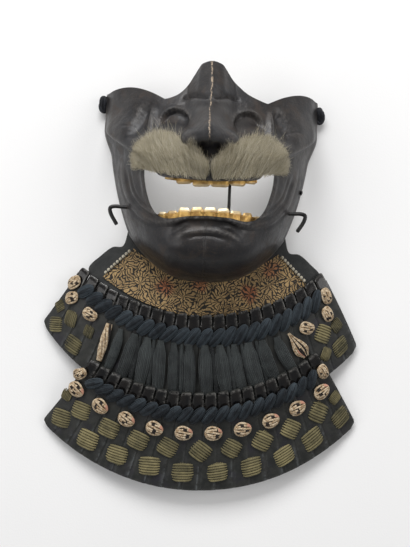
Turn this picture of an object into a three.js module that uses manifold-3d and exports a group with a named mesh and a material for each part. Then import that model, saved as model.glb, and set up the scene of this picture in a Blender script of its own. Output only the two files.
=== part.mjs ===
// Iron half mask of a Japanese armour with its two-lame throat guard, laid face up on a flat surface.
// Millimetres. +X to the right as seen from the front, +Y from the chin to the nose, +Z out of the face.
// The layout is drawn about the middle of the chin, and the finished group is moved so that its origin
// is the middle of its footprint, on the surface that it rests on.
import * as THREE from "three";
import { mergeVertices } from "three/addons/utils/BufferGeometryUtils.js";
import Module from "manifold-3d";

const wasm = await Module();
wasm.setup();

// ---------------------------------------------------------------- driving dimensions

const GAP = 0.3; // between pieces that touch on the real thing

const MASK = {
  halfWidth: 83, // at the cheeks
  jawHalfWidth: 59, // where the side turns into the bottom rim
  cheekStep: 5.5, // how far the side falls back under the cheek roll
  cheekRow: 0.25, // share of the height where the mask is widest
  jawY: 27,
  chinRimY: -6.5,
  noseTopY: 155,
  notchX: 38, // dip between the nose and the ear lobe
  notchY: 126.8,
  lobeTopY: 138.5,
  notchLean: 3.2, // how far the notches sit to the right of true
  noseLean: -0.8,
  wall: 2.6,
  sideRimZ: 7,
  restZ: 0.6, // rear edge of the ear lobes, flat on the surface
};

// Height of the face along its midline, without the nose.
const MIDLINE = [
  { y: 170, z: 40 },
  { y: 150, z: 47 },
  { y: 128, z: 57 },
  { y: 100, z: 71 },
  { y: 84, z: 80 },
  { y: 66, z: 82 },
  { y: 50, z: 81 },
  { y: 39, z: 82 },
  { y: 32, z: 79 },
  { y: 14, z: 83 },
  { y: 2, z: 78 },
  { y: -10, z: 70 },
];

// The nose: height over the cheeks and half width, from the bridge to the lip.
const NOSE = [
  { y: 165, rise: 10, half: 13 },
  { y: 150, rise: 13, half: 15 },
  { y: 130, rise: 15, half: 17 },
  { y: 110, rise: 21, half: 18 },
  { y: 97, rise: 26, half: 18 },
  { y: 92, rise: 22, half: 17 },
  { y: 87, rise: 7, half: 15 },
  { y: 82, rise: 0, half: 14 },
];

// Mouth opening, right half, from the middle of the lower lip round to the middle of the upper lip.
const MOUTH = [
  { x: 0, y: 40.4 },
  { x: 15, y: 39.6 },
  { x: 29, y: 38 },
  { x: 35, y: 40 },
  { x: 40, y: 45.5 },
  { x: 44.3, y: 56 },
  { x: 46.8, y: 70 },
  { x: 46, y: 77.5 },
  { x: 42, y: 78.5 },
  { x: 39, y: 74 },
  { x: 37, y: 69.6 },
  { x: 20, y: 66.2 },
  { x: 0, y: 65 },
];

// Arch of the throat guard over the surface: middle height, and the half width where it comes down.
const ARCH = [
  { y: 40, height: 15, half: 92 },
  { y: 0, height: 17, half: 108 },
  { y: -30, height: 21, half: 122 },
  { y: -60, height: 21, half: 127 },
  { y: -110, height: 17, half: 127 },
  { y: -170, height: 13, half: 127 },
];

// Backing leather, a row for each section from the jaw down to the first lame.
const BACKING = [
  { halfWidth: 61, endY: 31, middleY: 1.5 },
  { halfWidth: 64.5, endY: 19, middleY: -7 },
  { halfWidth: 73, endY: 17.5, middleY: -13 },
  { halfWidth: 82, endY: 10.5, middleY: -21 },
  { halfWidth: 91, endY: 1, middleY: -31 },
  { halfWidth: 88, endY: -10, middleY: -41 },
];
const PRINTED = [
  { halfWidth: 56, endY: 17, middleY: -0.5 },
  { halfWidth: 79.5, endY: -6, middleY: -33 },
];
const LEATHER = { backing: 2, printed: 1 };

// The two lames. Each is a fan of scales between a top and a bottom arc.
const LAMES = [
  {
    name: "upper",
    scales: 22,
    top: { radius: 142, middleY: -31.3, halfWidth: 93 },
    bottom: { radius: 158, middleY: -108, halfWidth: 123.6 },
    rollTop: 0.9,
    rollBottom: -2.2,
    slideTop: -1.5,
    slideBottom: -2.8,
    liftTop: 3.8,
    liftMiddle: 2.2,
    liftBottom: 0.4,
    ropeRow: 0.23,
    stitches: [
      { row: 0.63, shares: [-0.872] },
      { row: 0.61, shares: [-0.732, 0.93] },
      { row: 0.872, shares: [-0.93, -0.774] },
      { row: 0.575, shares: [0.815] },
      { row: 0.82, shares: [0.904] },
    ],
  },
  {
    name: "lower",
    scales: 20,
    top: { radius: 146, middleY: -90, halfWidth: 86 },
    bottom: { radius: 173.6, middleY: -167.7, halfWidth: 122.7 },
    rollTop: 4,
    rollBottom: 1.9,
    slideTop: 6.4,
    slideBottom: 0.5,
    liftTop: 7.8,
    liftMiddle: 3.6,
    liftBottom: 0.3,
    ropeRow: 0.235,
    stitches: [
      { row: 0.59, shares: [-0.84, -0.633, -0.426, -0.219, -0.012, 0.195, 0.402, 0.609, 0.816] },
      { row: 0.812, shares: [-0.936, -0.733, -0.53, -0.325, -0.11, 0.1, 0.31, 0.52, 0.73, 0.925] },
    ],
  },
];
const LAME = {
  plate: 2.2,
  shingle: 0.7, // step where one scale laps over the next
  headHeight: 8.5, // depth of the notch between two heads
  shoulder: 0.14, // share of the pitch that a head is cut back on each side
  clip: 2, // slant of a head's top
  corner: 0.03, // share of the width that the two outer corners of the hem are cut off
  stitchSize: 15,
  stitchRise: 1.1,
};
const ROPE = { width: 9, thick: 6.4, slant: 38, spread: 0.91, shift: -0.018 };
const KNOT = { length: 12.6, width: 10.4, thick: 5, row: 0.416, spread: 1.025, shift: -0.31 };

// Knots and laces at the ends of the lames: place, length and turn of each pad, for the left side.
const EDGE_LACES = {
  upper: [
    { across: 0.965, row: 0.253, length: 12, turn: 80 },
    { across: 0.92, row: 0.427, length: 11, turn: 72 },
    { across: 0.753, row: 0.416, length: 12, turn: 20 },
  ],
  lower: [{ across: 0.983, row: 0.238, length: 11, turn: 78 }],
};
const EDGE_KNOT = { width: 8, thick: 4.4, shift: -0.018 };
const EDGE_STITCHES = { count: 8, fromX: 58.5, fromY: 15.5, toX: 78.5, toY: -3.6, width: 3, thick: 2 };
const PIN = { x: 15.2, top: 72, bottom: 40, z: 62, radius: 1.15 };
const STUD = { u: 0.975, v: 0.64, radius: 2, rise: 1.6 };
const HOOK = { radius: 1.5, reach: 12.5, drop: 13.5, bend: 2.8, x: 61.5, y: 47.4 };
const EAR_KNOT = { x: 84.4, leftY: 129, rightY: 127, z: 5.2 };

// Suspension cords between the lames: where each leaves the upper lame and meets the lower one,
// in scales from the middle, and its width.
const CORDS = [
  { from: -6.25, to: -9.4, width: 6.2, colour: "edging" },
  { from: -5.4, to: -8.4, width: 7 },
  { from: -4.4, to: -7.15, width: 9.4 },
  { from: -3.5, to: -5.5, width: 9 },
  { from: -2.6, to: -3.9, width: 8.6 },
  { from: -1.7, to: -2.65, width: 8.6 },
  { from: -0.7, to: -1.3, width: 9.4 },
  { from: 0.35, to: 0.2, width: 9.6 },
  { from: 1.35, to: 1.8, width: 9 },
  { from: 2.3, to: 3.15, width: 9 },
  { from: 3.25, to: 4.55, width: 9 },
  { from: 4.2, to: 6, width: 9 },
  { from: 5.2, to: 7.6, width: 8 },
  { from: 6.05, to: 9.1, width: 6.2, colour: "edging" },
];
const CORD = { thick: 3.6, slack: 2.4, startRow: 0.345, startBend: 0.0018, endGap: 1.8 };

const COLOURS = {
  iron: { color: 0x2c2b2c, roughness: 0.45, metalness: 0.55 },
  gold: { color: 0xb8904a, roughness: 0.35, metalness: 0.9 },
  hair: { color: 0x8f8a70, roughness: 0.9, metalness: 0 },
  lacquer: { color: 0x1d1e1e, roughness: 0.3, metalness: 0 },
  braid: { color: 0x26303a, roughness: 0.9, metalness: 0 },
  leather: { color: 0x2c2e2c, roughness: 0.7, metalness: 0 },
  print: { color: 0x8d6f45, roughness: 0.6, metalness: 0 },
  edging: { color: 0xc9b58f, roughness: 0.85, metalness: 0 },
};

// ---------------------------------------------------------------- helpers

const { lerp, clamp, smoothstep, degToRad } = THREE.MathUtils;
const HALF_TURN = Math.PI;

// Smooth value of one column of a table at a place along another, which runs down the rows.
function sample(table, along, column, at) {
  const sign = Math.sign(table[table.length - 1][along] - table[0][along]);
  const last = table.length - 1;
  let i = 0;
  while (i < last - 1 && sign * (at - table[i + 1][along]) > 0) i++;
  const slope = (a, b) => (table[b][column] - table[a][column]) / (table[b][along] - table[a][along]);
  const here = slope(i, i + 1);
  const before = i > 0 ? (slope(i - 1, i) + here) / 2 : here;
  const after = i < last - 1 ? (slope(i + 1, i + 2) + here) / 2 : here;
  const span = table[i + 1][along] - table[i][along];
  const t = clamp((at - table[i][along]) / span, 0, 1);
  const t2 = t * t;
  const t3 = t2 * t;
  return (
    (2 * t3 - 3 * t2 + 1) * table[i][column] +
    (t3 - 2 * t2 + t) * span * before +
    (3 * t2 - 2 * t3) * table[i + 1][column] +
    (t3 - t2) * span * after
  );
}

const hill = (distance, width) => Math.exp(-((distance / width) ** 2));

// Distance from a point to a segment, and the share of the way along it.
function segmentDistance(x, y, a, b) {
  const dx = b.x - a.x;
  const dy = b.y - a.y;
  const t = clamp(((x - a.x) * dx + (y - a.y) * dy) / (dx * dx + dy * dy), 0, 1);
  return Math.hypot(x - a.x - t * dx, y - a.y - t * dy);
}

function solid(geometry) {
  const bare = geometry.clone();
  bare.deleteAttribute("normal");
  bare.deleteAttribute("uv");
  const merged = mergeVertices(bare, 1e-4);
  return new wasm.Manifold(
    new wasm.Mesh({
      numProp: 3,
      vertProperties: new Float32Array(merged.attributes.position.array),
      triVerts: new Uint32Array(merged.index.array),
    }),
  );
}

const join = (solids) => solids.reduce((whole, next) => whole.add(next));

function geometryOf(manifold) {
  const mesh = manifold.getMesh();
  const geometry = new THREE.BufferGeometry();
  geometry.setAttribute("position", new THREE.BufferAttribute(new Float32Array(mesh.vertProperties), 3));
  geometry.setIndex(new THREE.BufferAttribute(new Uint32Array(mesh.triVerts), 1));
  geometry.computeVertexNormals();
  return geometry;
}

// Closed shell between a front and a back grid of points, rows by columns, the front facing +Z
// when columns run along +X and rows along -Y.
function shell(front, back) {
  const rows = front.length;
  const columns = front[0].length;
  const points = [...front.flat(), ...back.flat()];
  const at = (side, r, c) => side * rows * columns + r * columns + c;
  const index = [];
  const quad = (a, b, c, d) => index.push(a, b, c, a, c, d);
  for (let r = 0; r < rows - 1; r++)
    for (let c = 0; c < columns - 1; c++) {
      quad(at(0, r, c), at(0, r + 1, c), at(0, r + 1, c + 1), at(0, r, c + 1));
      quad(at(1, r, c), at(1, r, c + 1), at(1, r + 1, c + 1), at(1, r + 1, c));
    }
  for (let c = 0; c < columns - 1; c++) {
    quad(at(0, 0, c), at(0, 0, c + 1), at(1, 0, c + 1), at(1, 0, c));
    quad(at(0, rows - 1, c + 1), at(0, rows - 1, c), at(1, rows - 1, c), at(1, rows - 1, c + 1));
  }
  for (let r = 0; r < rows - 1; r++) {
    quad(at(0, r + 1, 0), at(0, r, 0), at(1, r, 0), at(1, r + 1, 0));
    quad(at(0, r, columns - 1), at(0, r + 1, columns - 1), at(1, r + 1, columns - 1), at(1, r, columns - 1));
  }
  const geometry = new THREE.BufferGeometry();
  geometry.setAttribute("position", new THREE.Float32BufferAttribute(points.flatMap((p) => p.toArray()), 3));
  geometry.setIndex(index);
  return geometry;
}

// Ring of points round a centre: across and up are its half axes, lean shears it along `forward`.
function ring(centre, forward, up, across, rise, sides, lean = 0) {
  const z = up.clone().addScaledVector(forward, -up.dot(forward)).normalize();
  const x = z.clone().cross(forward);
  return Array.from({ length: sides }, (_, k) => {
    const a = (2 * HALF_TURN * (k + 0.5)) / sides;
    return centre
      .clone()
      .addScaledVector(x, across * Math.cos(a))
      .addScaledVector(z, rise * Math.sin(a))
      .addScaledVector(forward, lean * across * Math.cos(a));
  });
}

// Closed body through a row of rings, flat at both ends.
function tube(rings) {
  const sides = rings[0].length;
  const index = [];
  for (let i = 0; i < rings.length - 1; i++)
    for (let k = 0; k < sides; k++) {
      const a = i * sides + k;
      const b = i * sides + ((k + 1) % sides);
      index.push(a, b, b + sides, a, b + sides, a + sides);
    }
  const last = (rings.length - 1) * sides;
  for (let k = 1; k < sides - 1; k++) index.push(0, k + 1, k, last, last + k, last + k + 1);
  const geometry = new THREE.BufferGeometry();
  const points = rings.flat().flatMap((p) => p.toArray());
  geometry.setAttribute("position", new THREE.Float32BufferAttribute(points, 3));
  geometry.setIndex(index);
  return solid(geometry);
}

// Round rod along a list of points.
function rod(points, radius, sides = 8, steps = points.length * 3) {
  const path = new THREE.CatmullRomCurve3(points, false, "centripetal");
  const outline = new THREE.Shape();
  outline.setFromPoints(
    Array.from({ length: sides }, (_, i) => {
      const a = (i / sides) * 2 * HALF_TURN;
      return new THREE.Vector2(radius * Math.cos(a), radius * Math.sin(a));
    }),
  );
  return new THREE.ExtrudeGeometry(outline, { steps, extrudePath: path });
}

// Ellipsoid with its long axis turned by `turn` degrees in a tangent plane.
function pad(centre, axes, normal, along, turn, [around, down] = [6, 4]) {
  const z = normal.clone().normalize();
  const x = along.clone().addScaledVector(z, -along.dot(z)).normalize();
  const y = z.clone().cross(x);
  const spin = new THREE.Matrix4().makeRotationZ(degToRad(turn));
  const place = new THREE.Matrix4().makeBasis(x, y, z).multiply(spin).setPosition(centre);
  return new THREE.SphereGeometry(1, around, down)
    .rotateX(HALF_TURN / 2)
    .scale(axes.length / 2, axes.width / 2, axes.thick / 2)
    .applyMatrix4(place);
}

// ---------------------------------------------------------------- throat guard surface

// Height of the arch that the throat guard lies on.
function archHeight(x, y) {
  const height = sample(ARCH, "y", "height", y);
  const half = sample(ARCH, "y", "half", y);
  return height * Math.max(0, 1 - (x / half) ** 2);
}

function archNormal(x, y) {
  const d = 1;
  const slopeX = (archHeight(x + d, y) - archHeight(x - d, y)) / (2 * d);
  const slopeY = (archHeight(x, y + d) - archHeight(x, y - d)) / (2 * d);
  return new THREE.Vector3(-slopeX, -slopeY, 1).normalize();
}

// Leather sheet between interpolated sections, `lift` over the arch.
function leatherSheet(sections, thick, lift, rows, columns, curves) {
  const table = sections.map((section, i) => ({ ...section, at: i / (sections.length - 1) }));
  const grid = (extra) =>
    Array.from({ length: rows }, (_, r) => {
      const at = r / (rows - 1);
      const half = sample(table, "at", "halfWidth", at);
      const endY = sample(table, "at", "endY", at);
      const middleY = sample(table, "at", "middleY", at);
      const curve = lerp(curves[0], curves[1], at);
      return Array.from({ length: columns }, (_, c) => {
        const share = (2 * c) / (columns - 1) - 1;
        const x = half * share;
        const y = middleY + (endY - middleY) * Math.abs(share) ** curve;
        return new THREE.Vector3(x, y, archHeight(x, y) + lift + extra);
      });
    });
  return solid(shell(grid(thick), grid(0)));
}

// ---------------------------------------------------------------- lames

function arcPoint(arc, share) {
  const angle = share * Math.asin(arc.halfWidth / arc.radius);
  return new THREE.Vector2(arc.radius * Math.sin(angle), arc.middleY + arc.radius * (1 - Math.cos(angle)));
}

// A point of a lame: share from -1 to 1 across it, row from 0 at the heads to 1 at the hem.
function lamePoint(lame, share, row, above = 0) {
  const flat = arcPoint(lame.top, share).lerp(arcPoint(lame.bottom, share), row);
  const middle = new THREE.Vector2(0, (lame.top.middleY + lame.bottom.middleY) / 2);
  flat.rotateAround(middle, degToRad(lerp(lame.rollTop, lame.rollBottom, row)));
  flat.x += lerp(lame.slideTop, lame.slideBottom, row);
  const lift =
    row < 0.25
      ? lerp(lame.liftTop, lame.liftMiddle, row / 0.25)
      : lerp(lame.liftMiddle, lame.liftBottom, (row - 0.25) / 0.75);
  return new THREE.Vector3(flat.x, flat.y, archHeight(flat.x, flat.y) + lift + above);
}

// Direction along the lame, and the outward normal, at a place on it.
function lameFrame(lame, share, row) {
  const along = lamePoint(lame, share + 0.01, row).sub(lamePoint(lame, share - 0.01, row)).normalize();
  const down = lamePoint(lame, share, row + 0.01).sub(lamePoint(lame, share, row - 0.01)).normalize();
  return { along, down, normal: down.clone().cross(along).normalize() };
}

const inScales = (scalesFromMiddle) => scalesFromMiddle / 10;

// One lame: scales that lap over each other like shingles, with notches between their heads.
function lamePlate(lame) {
  const depth = lame.top.middleY - lame.bottom.middleY;
  const columns = [];
  for (let i = 0; i < lame.scales; i++) {
    columns.push({ at: i, rise: 0, cut: LAME.headHeight });
    columns.push({ at: i + LAME.shoulder, rise: 0.1, cut: LAME.clip });
    columns.push({ at: i + 1 - LAME.shoulder, rise: LAME.shingle, cut: 0 });
  }
  columns.push({ at: lame.scales, rise: 0, cut: LAME.headHeight });
  const rows = [0, lame.ropeRow, 0.96, 1];
  const grid = (point) =>
    rows.map((row) =>
      columns.map(({ at, rise, cut }) => {
        const reach = row === 1 ? 1 - LAME.corner : 1;
        const share = clamp((2 * at) / lame.scales - 1, -reach, reach);
        return point(share, row === 0 ? cut / depth : row, rise);
      }),
    );
  const front = grid((share, row, rise) => lamePoint(lame, share, row, LAME.plate + rise));
  const back = grid((share, row) => lamePoint(lame, share, row));
  return solid(shell(front, back));
}

// Raised cross stitch.
function crossStitch(lame, share, row) {
  const { along, down, normal } = lameFrame(lame, share, row);
  const half = LAME.stitchSize / 2;
  const tall = half * 0.72;
  const outline = new THREE.Shape([
    new THREE.Vector2(-half, -tall),
    new THREE.Vector2(half, -tall),
    new THREE.Vector2(half, tall),
    new THREE.Vector2(-half, tall),
  ]);
  const foot = lamePoint(lame, share, row, LAME.plate - 0.8);
  const place = new THREE.Matrix4().makeBasis(along, down.clone().negate(), normal).setPosition(foot);
  const depth = LAME.shingle + LAME.stitchRise + 0.8;
  return solid(new THREE.ExtrudeGeometry(outline, { depth, bevelEnabled: false }).applyMatrix4(place));
}

function lameSolid(lame) {
  const stitches = lame.stitches.flatMap(({ row, shares }) =>
    shares.map((share) => crossStitch(lame, share, row)),
  );
  return join([lamePlate(lame), ...stitches]);
}

// ---------------------------------------------------------------- lacing

// Height over a lame's lower face at which a lace of some thickness lies on it.
const laceHeight = (thick) => LAME.plate + LAME.shingle + GAP + thick / 2;

// Rope-like row of slanted braid, one turn on each scale.
function ropeRow(lame) {
  const profile = [
    { at: 0.1, size: 0.6 },
    { at: 0.6, size: 1 },
  ];
  const rings = [];
  for (let i = 0; i < lame.scales; i++)
    for (const { at, size } of profile) {
      const share = ((2 * (i + at)) / lame.scales - 1) * ROPE.spread + ROPE.shift;
      const { along, normal } = lameFrame(lame, share, lame.ropeRow);
      const centre = lamePoint(lame, share, lame.ropeRow, laceHeight(ROPE.thick));
      const across = (size * ROPE.width) / 2;
      const rise = (size * ROPE.thick) / 2;
      rings.push(ring(centre, along, normal, across, rise, 5, Math.tan(degToRad(ROPE.slant)) * 0.6));
    }
  return tube(rings);
}

// Round multi-coloured knot under the rope of the lower lame.
function lacingKnot(lame, joint) {
  const share = inScales(joint * KNOT.spread + KNOT.shift);
  const { along, normal } = lameFrame(lame, share, KNOT.row);
  const centre = lamePoint(lame, share, KNOT.row, laceHeight(KNOT.thick) + 0.2);
  return pad(centre, KNOT, normal, along, 0, [6, 4]);
}

// Place on a lame: how far across and down it a point of the plan lies.
function lamePlace(lame, x, y) {
  let share = 0;
  let row = 0.5;
  for (let i = 0; i < 12; i++) {
    const here = lamePoint(lame, share, row);
    share += (x - here.x) / (lame.bottom.halfWidth + 4);
    row -= (y - here.y) / (lame.top.middleY - lame.bottom.middleY);
  }
  return { share, row };
}

// Flat slack cord that hangs over the upper lame, down to the heads of the lower one.
function suspensionCord({ from, to, width }) {
  const [upper, lower] = LAMES;
  const start = lamePoint(upper, inScales(from), CORD.startRow + CORD.startBend * from ** 2);
  const { down } = lameFrame(lower, inScales(to), 0);
  const end = lamePoint(lower, inScales(to), 0).addScaledVector(down, -CORD.endGap);
  const forward = end.clone().sub(start).setZ(0).normalize();
  const up = new THREE.Vector3(0, 0, 1);
  const rings = [0, 0.14, 0.5, 0.86, 1].map((t, i) => {
    const centre = start.clone().lerp(end, t);
    const { share, row } = lamePlace(upper, centre.x, centre.y);
    const slack = CORD.slack * Math.sin(HALF_TURN * t);
    const size = i % 4 ? 1 : 0.7;
    centre.z = lamePoint(upper, share, row, laceHeight(CORD.thick) + slack).z + 0.5;
    return ring(centre, forward, up, (size * width) / 2, (size * CORD.thick) / 2, 6);
  });
  return tube(rings);
}

// Knots at one end of a lame with the thread that joins them.
function edgeLacing(lame, side) {
  const pads = EDGE_LACES[lame.name].map(({ across, row, length, turn }) => {
    const share = side * across + EDGE_KNOT.shift;
    const { along, normal } = lameFrame(lame, share, row);
    const centre = lamePoint(lame, share, row, laceHeight(EDGE_KNOT.thick) + 0.2);
    return { centre, normal, along, axes: { ...EDGE_KNOT, length }, turn: -side * turn };
  });
  const knots = pads.map((p) => solid(pad(p.centre, p.axes, p.normal, p.along, p.turn, [6, 3])));
  const centres = pads.map((p) => p.centre);
  const threads = centres.slice(1).map((centre, i) => solid(rod([centres[i], centre], 1.2, 5, 1)));
  return join([...knots, ...threads]);
}

// Row of small stitches that holds one side of the printed leather.
function edgeBraid(side) {
  const { count, fromX, fromY, toX, toY, width, thick } = EDGE_STITCHES;
  const start = new THREE.Vector3(fromX * side, fromY, 0);
  const end = new THREE.Vector3(toX * side, toY, 0);
  const forward = end.clone().sub(start).normalize();
  const lift = LEATHER.backing + LEATHER.printed + 2 * GAP + thick / 2;
  const rings = Array.from({ length: 2 * count }, (_, i) => {
    const centre = start.clone().lerp(end, i / (2 * count - 1));
    centre.z = archHeight(centre.x, centre.y) + lift;
    const size = i % 2 ? 1 : 0.5;
    return ring(centre, forward, archNormal(centre.x, centre.y), (size * width) / 2, (size * thick) / 2, 4);
  });
  return tube(rings);
}

// ---------------------------------------------------------------- mask surface

const topEdge = (at) => {
  const lean = lerp(MASK.noseLean, MASK.notchLean, smoothstep(Math.abs(at), 8, 34));
  const x = at - lean * (1 - smoothstep(Math.abs(at), 60, 83));
  const across = Math.abs(x);
  if (across < MASK.notchX) {
    const fall = 1 / (1 + (across / 17) ** 3);
    const least = 1 / (1 + (MASK.notchX / 17) ** 3);
    return lerp(MASK.notchY, MASK.noseTopY, (fall - least) / (1 - least));
  }
  const turn = ((across - MASK.notchX) / (MASK.halfWidth - MASK.notchX)) * 0.72 * HALF_TURN;
  return MASK.notchY + (MASK.lobeTopY - MASK.notchY) * Math.sin(turn);
};

const bottomEdge = (x) =>
  MASK.chinRimY + (MASK.jawY - MASK.chinRimY) * Math.abs(x / MASK.jawHalfWidth) ** 2.6;

function sideEdge(v) {
  const below = Math.max(0, (v - MASK.cheekRow) / (1 - MASK.cheekRow));
  const step = MASK.cheekStep * smoothstep(v, MASK.cheekRow, 0.46);
  return MASK.halfWidth - step - (MASK.halfWidth - MASK.cheekStep - MASK.jawHalfWidth) * below ** 1.9;
}

// Height of the rear rim: flat at the ear lobes, on the throat guard at the chin.
function rimHeight(x, y, v) {
  const side = MASK.restZ + (MASK.sideRimZ - MASK.restZ) * smoothstep(v, 0.12, 0.4);
  const seat = archHeight(x, y) + LEATHER.backing + LEATHER.printed + 3 * GAP + 1.2;
  return lerp(side, Math.max(side, seat), smoothstep(v, 0.55, 0.86));
}

// Smooth face with the nose, u from -1 to 1 across and v from 0 at the top edge to 1 at the chin rim.
function facePoint(u, v) {
  const across = Math.abs(u);
  const x = u * sideEdge(v);
  const y = lerp(topEdge(u * MASK.halfWidth), bottomEdge(u * MASK.jawHalfWidth), v);
  const section = Math.max(0, 1 - across ** 1.9) ** 0.62;
  const chin = Math.max(0, 1 - v ** 9) ** 0.6;
  const rim = rimHeight(x, y, v);
  const face = sample(MIDLINE, "y", "z", y);
  const half = sample(NOSE, "y", "half", y);
  const ridge = Math.max(0, 1.03 - Math.sqrt(((x - MASK.noseLean) / half) ** 2 + 0.012));
  const nose = Math.max(0, sample(NOSE, "y", "rise", y)) * ridge;
  return new THREE.Vector3(x, y, rim + (face - rim) * section * chin + nose);
}

function faceNormal(u, v) {
  const d = 0.004;
  const across = facePoint(Math.min(1, u + d), v).sub(facePoint(Math.max(-1, u - d), v));
  const down = facePoint(u, Math.min(1, v + d)).sub(facePoint(u, Math.max(0, v - d)));
  return down.cross(across).normalize();
}

// Carved relief at a place on the face: wrinkles, cheek rolls, nostril wings and chin.
function relief(x, y) {
  const a = Math.abs(x);
  const wing = 6 * hill(Math.hypot(a - 14, (y - 94) * 0.9), 6.5);
  const pouch = Math.hypot((a - 29) * 0.95, y - 108);
  const hollow = -3.6 * smoothstep(-pouch, -11.5, -9) * smoothstep(y, 96, 109);
  const ridge = 3 * hill(segmentDistance(a, y, { x: 44, y: 117 }, { x: 42, y: 96 }), 3);
  const groove = -4 * hill(segmentDistance(a, y, { x: 56, y: 116 }, { x: 49, y: 100 }), 4.5);
  const rollLine = y - (88 + (a - 58) * 0.68 + Math.max(0, a - 58) ** 2 * 0.004);
  const roll = 3.6 * smoothstep(rollLine, -1.5, 2.5) * hill(Math.max(0, rollLine), 24) * smoothstep(a, 40, 56);
  const smile = -1.6 * hill(Math.hypot(a - 30, (y - 76) * 0.85) - 32.5, 1.6) * smoothstep(-y, -78, -66);
  const chin = 2.6 * hill(Math.hypot(x * 0.8, y - 12), 22);
  const arc = Math.hypot(x, y + 3);
  const fold = (1.6 * hill(arc - 33.5, 2.6) - 2.8 * hill(arc - 39, 3)) * (1 - smoothstep(a, 15, 27)) * smoothstep(y, 8, 20);
  return wing + hollow + ridge + groove + roll + smile + chin + fold;
}

function mouthPrism() {
  const right = MOUTH.map(({ x, y }) => new THREE.Vector2(x, y));
  const left = right
    .slice(1, -1)
    .reverse()
    .map((p) => new THREE.Vector2(-p.x, p.y));
  const outline = new THREE.Shape([...right, ...left]);
  return solid(
    new THREE.ExtrudeGeometry(outline, { depth: 120, bevelEnabled: false }).translate(0, 0, 20),
  );
}

// The plate, or with `extra` over its front, the space that its neighbours keep clear of.
function facePlate(extra = 0) {
  const half = 12;
  const columns = Array.from({ length: 2 * half + 1 }, (_, i) => {
    const t = (i - half) / half;
    return 1.22 * t - 0.22 * t ** 3;
  });
  const steps = 22;
  const rows = Array.from({ length: steps + 1 }, (_, i) => 1.06 * (i / steps) - 0.06 * (i / steps) ** 4);
  const surface = (offset) =>
    rows.map((v) =>
      columns.map((u) => {
        const p = facePoint(u, v);
        const fade = smoothstep(1 - Math.abs(u), 0, 0.1) * smoothstep(1 - v, 0, 0.06);
        return p.addScaledVector(faceNormal(u, v), relief(p.x, p.y) * fade + offset);
      }),
    );
  const nostrils = [-1, 1].map((side) =>
    solid(rod([new THREE.Vector3(6.5 * side, 77, 85), new THREE.Vector3(6.5 * side, 96, 86)], 2.3, 6, 1)),
  );
  const below = solid(new THREE.BoxGeometry(400, 400, 20).translate(0, 60, MASK.restZ - 10));
  const cuts = join([mouthPrism(), ...nostrils, below]);
  return solid(shell(surface(extra), surface(-MASK.wall))).subtract(cuts);
}

// Height of the mask's smooth front at a place, found along one row of the surface.
function faceHeight(x, y) {
  let v = 0.5;
  for (let i = 0; i < 30; i++) {
    const u = clamp(x / sideEdge(v), -1, 1);
    const here = facePoint(u, v);
    v = clamp(v + (here.y - y) / (MASK.noseTopY - MASK.chinRimY), 0, 1);
  }
  return facePoint(clamp(x / sideEdge(v), -1, 1), v).z;
}

// ---------------------------------------------------------------- teeth, moustache, fittings

// Gilded row of teeth behind a lip: a gum band with one raised plate for each tooth.
function teethRow({ teeth, centreX, lipY, lipCurve, gumDepth, showEnds, showMiddle, side }) {
  const start = -teeth.reduce((sum, width) => sum + width, 0) / 2;
  const reach = -start;
  const lip = (x) => lipY + lipCurve * (1 - ((x - centreX) / reach) ** 2);
  const show = (x) => lerp(showMiddle, showEnds, ((x - centreX) / reach) ** 2);
  const behind = (x, y) => faceHeight(x, y) + Math.min(0, relief(x, y)) - MASK.wall - 2.7;
  const depthAt = (x) => Math.min(behind(x, lip(x)), behind(x, lip(x) - side * 2));
  const steps = 10;
  const shares = Array.from({ length: steps + 1 }, (_, i) => centreX + lerp(-reach, reach, i / steps));
  const edges = [
    { y: 1.2, sink: 0 },
    { y: -gumDepth / 2, sink: 0.4 },
    { y: -gumDepth, sink: 1 },
  ];
  const band = (thick) => {
    const rows = edges.map(({ y, sink }) =>
      shares.map((x) => {
        const at = lip(x) + side * y;
        return new THREE.Vector3(x, at, Math.min(depthAt(x), behind(x, at)) - sink - thick);
      }),
    );
    return side > 0 ? rows : rows.reverse();
  };
  const gum = solid(shell(band(0), band(2)));
  let edge = start + centreX;
  const plates = teeth.map((width) => {
    const x = edge + width / 2;
    edge += width;
    const half = width / 2 - 0.35;
    const tall = show(x);
    const outline = new THREE.Shape([
      new THREE.Vector2(-half, -1),
      new THREE.Vector2(half, -1),
      new THREE.Vector2(half, tall - 1.2),
      new THREE.Vector2(half * 0.7, tall),
      new THREE.Vector2(-half * 0.7, tall),
      new THREE.Vector2(-half, tall - 1.2),
    ]);
    const turn = Math.atan2(depthAt(x - 2) - depthAt(x + 2), 4);
    const plate = new THREE.ExtrudeGeometry(outline, { depth: 2.4, bevelEnabled: false });
    plate.translate(0, 0, -1.4);
    if (side < 0) plate.rotateZ(HALF_TURN);
    return solid(plate.rotateY(turn).translate(x, lip(x), depthAt(x)));
  });
  return join([gum, ...plates]);
}

const UPPER_TEETH = {
  teeth: [8, 12, 12.6, 13.4, 12, 8],
  centreX: 1.5,
  lipY: 68,
  lipCurve: -3,
  gumDepth: 5,
  showEnds: 2.4,
  showMiddle: 3.4,
  side: -1,
};
const LOWER_TEETH = {
  teeth: [6.6, 8.2, 9, 9.2, 9.4, 9.2, 9, 8.2, 6.6],
  centreX: 1.8,
  lipY: 38,
  lipCurve: 2,
  gumDepth: 4,
  showEnds: 4,
  showMiddle: 8.6,
  side: 1,
};

// Tips of the moustache's locks, from the middle out.
const LOCKS = [
  { x: 11, y: 89 },
  { x: 18, y: 92.5 },
  { x: 31, y: 98 },
  { x: 43, y: 99 },
  { x: 52, y: 94 },
  { x: 56, y: 83 },
];

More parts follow.
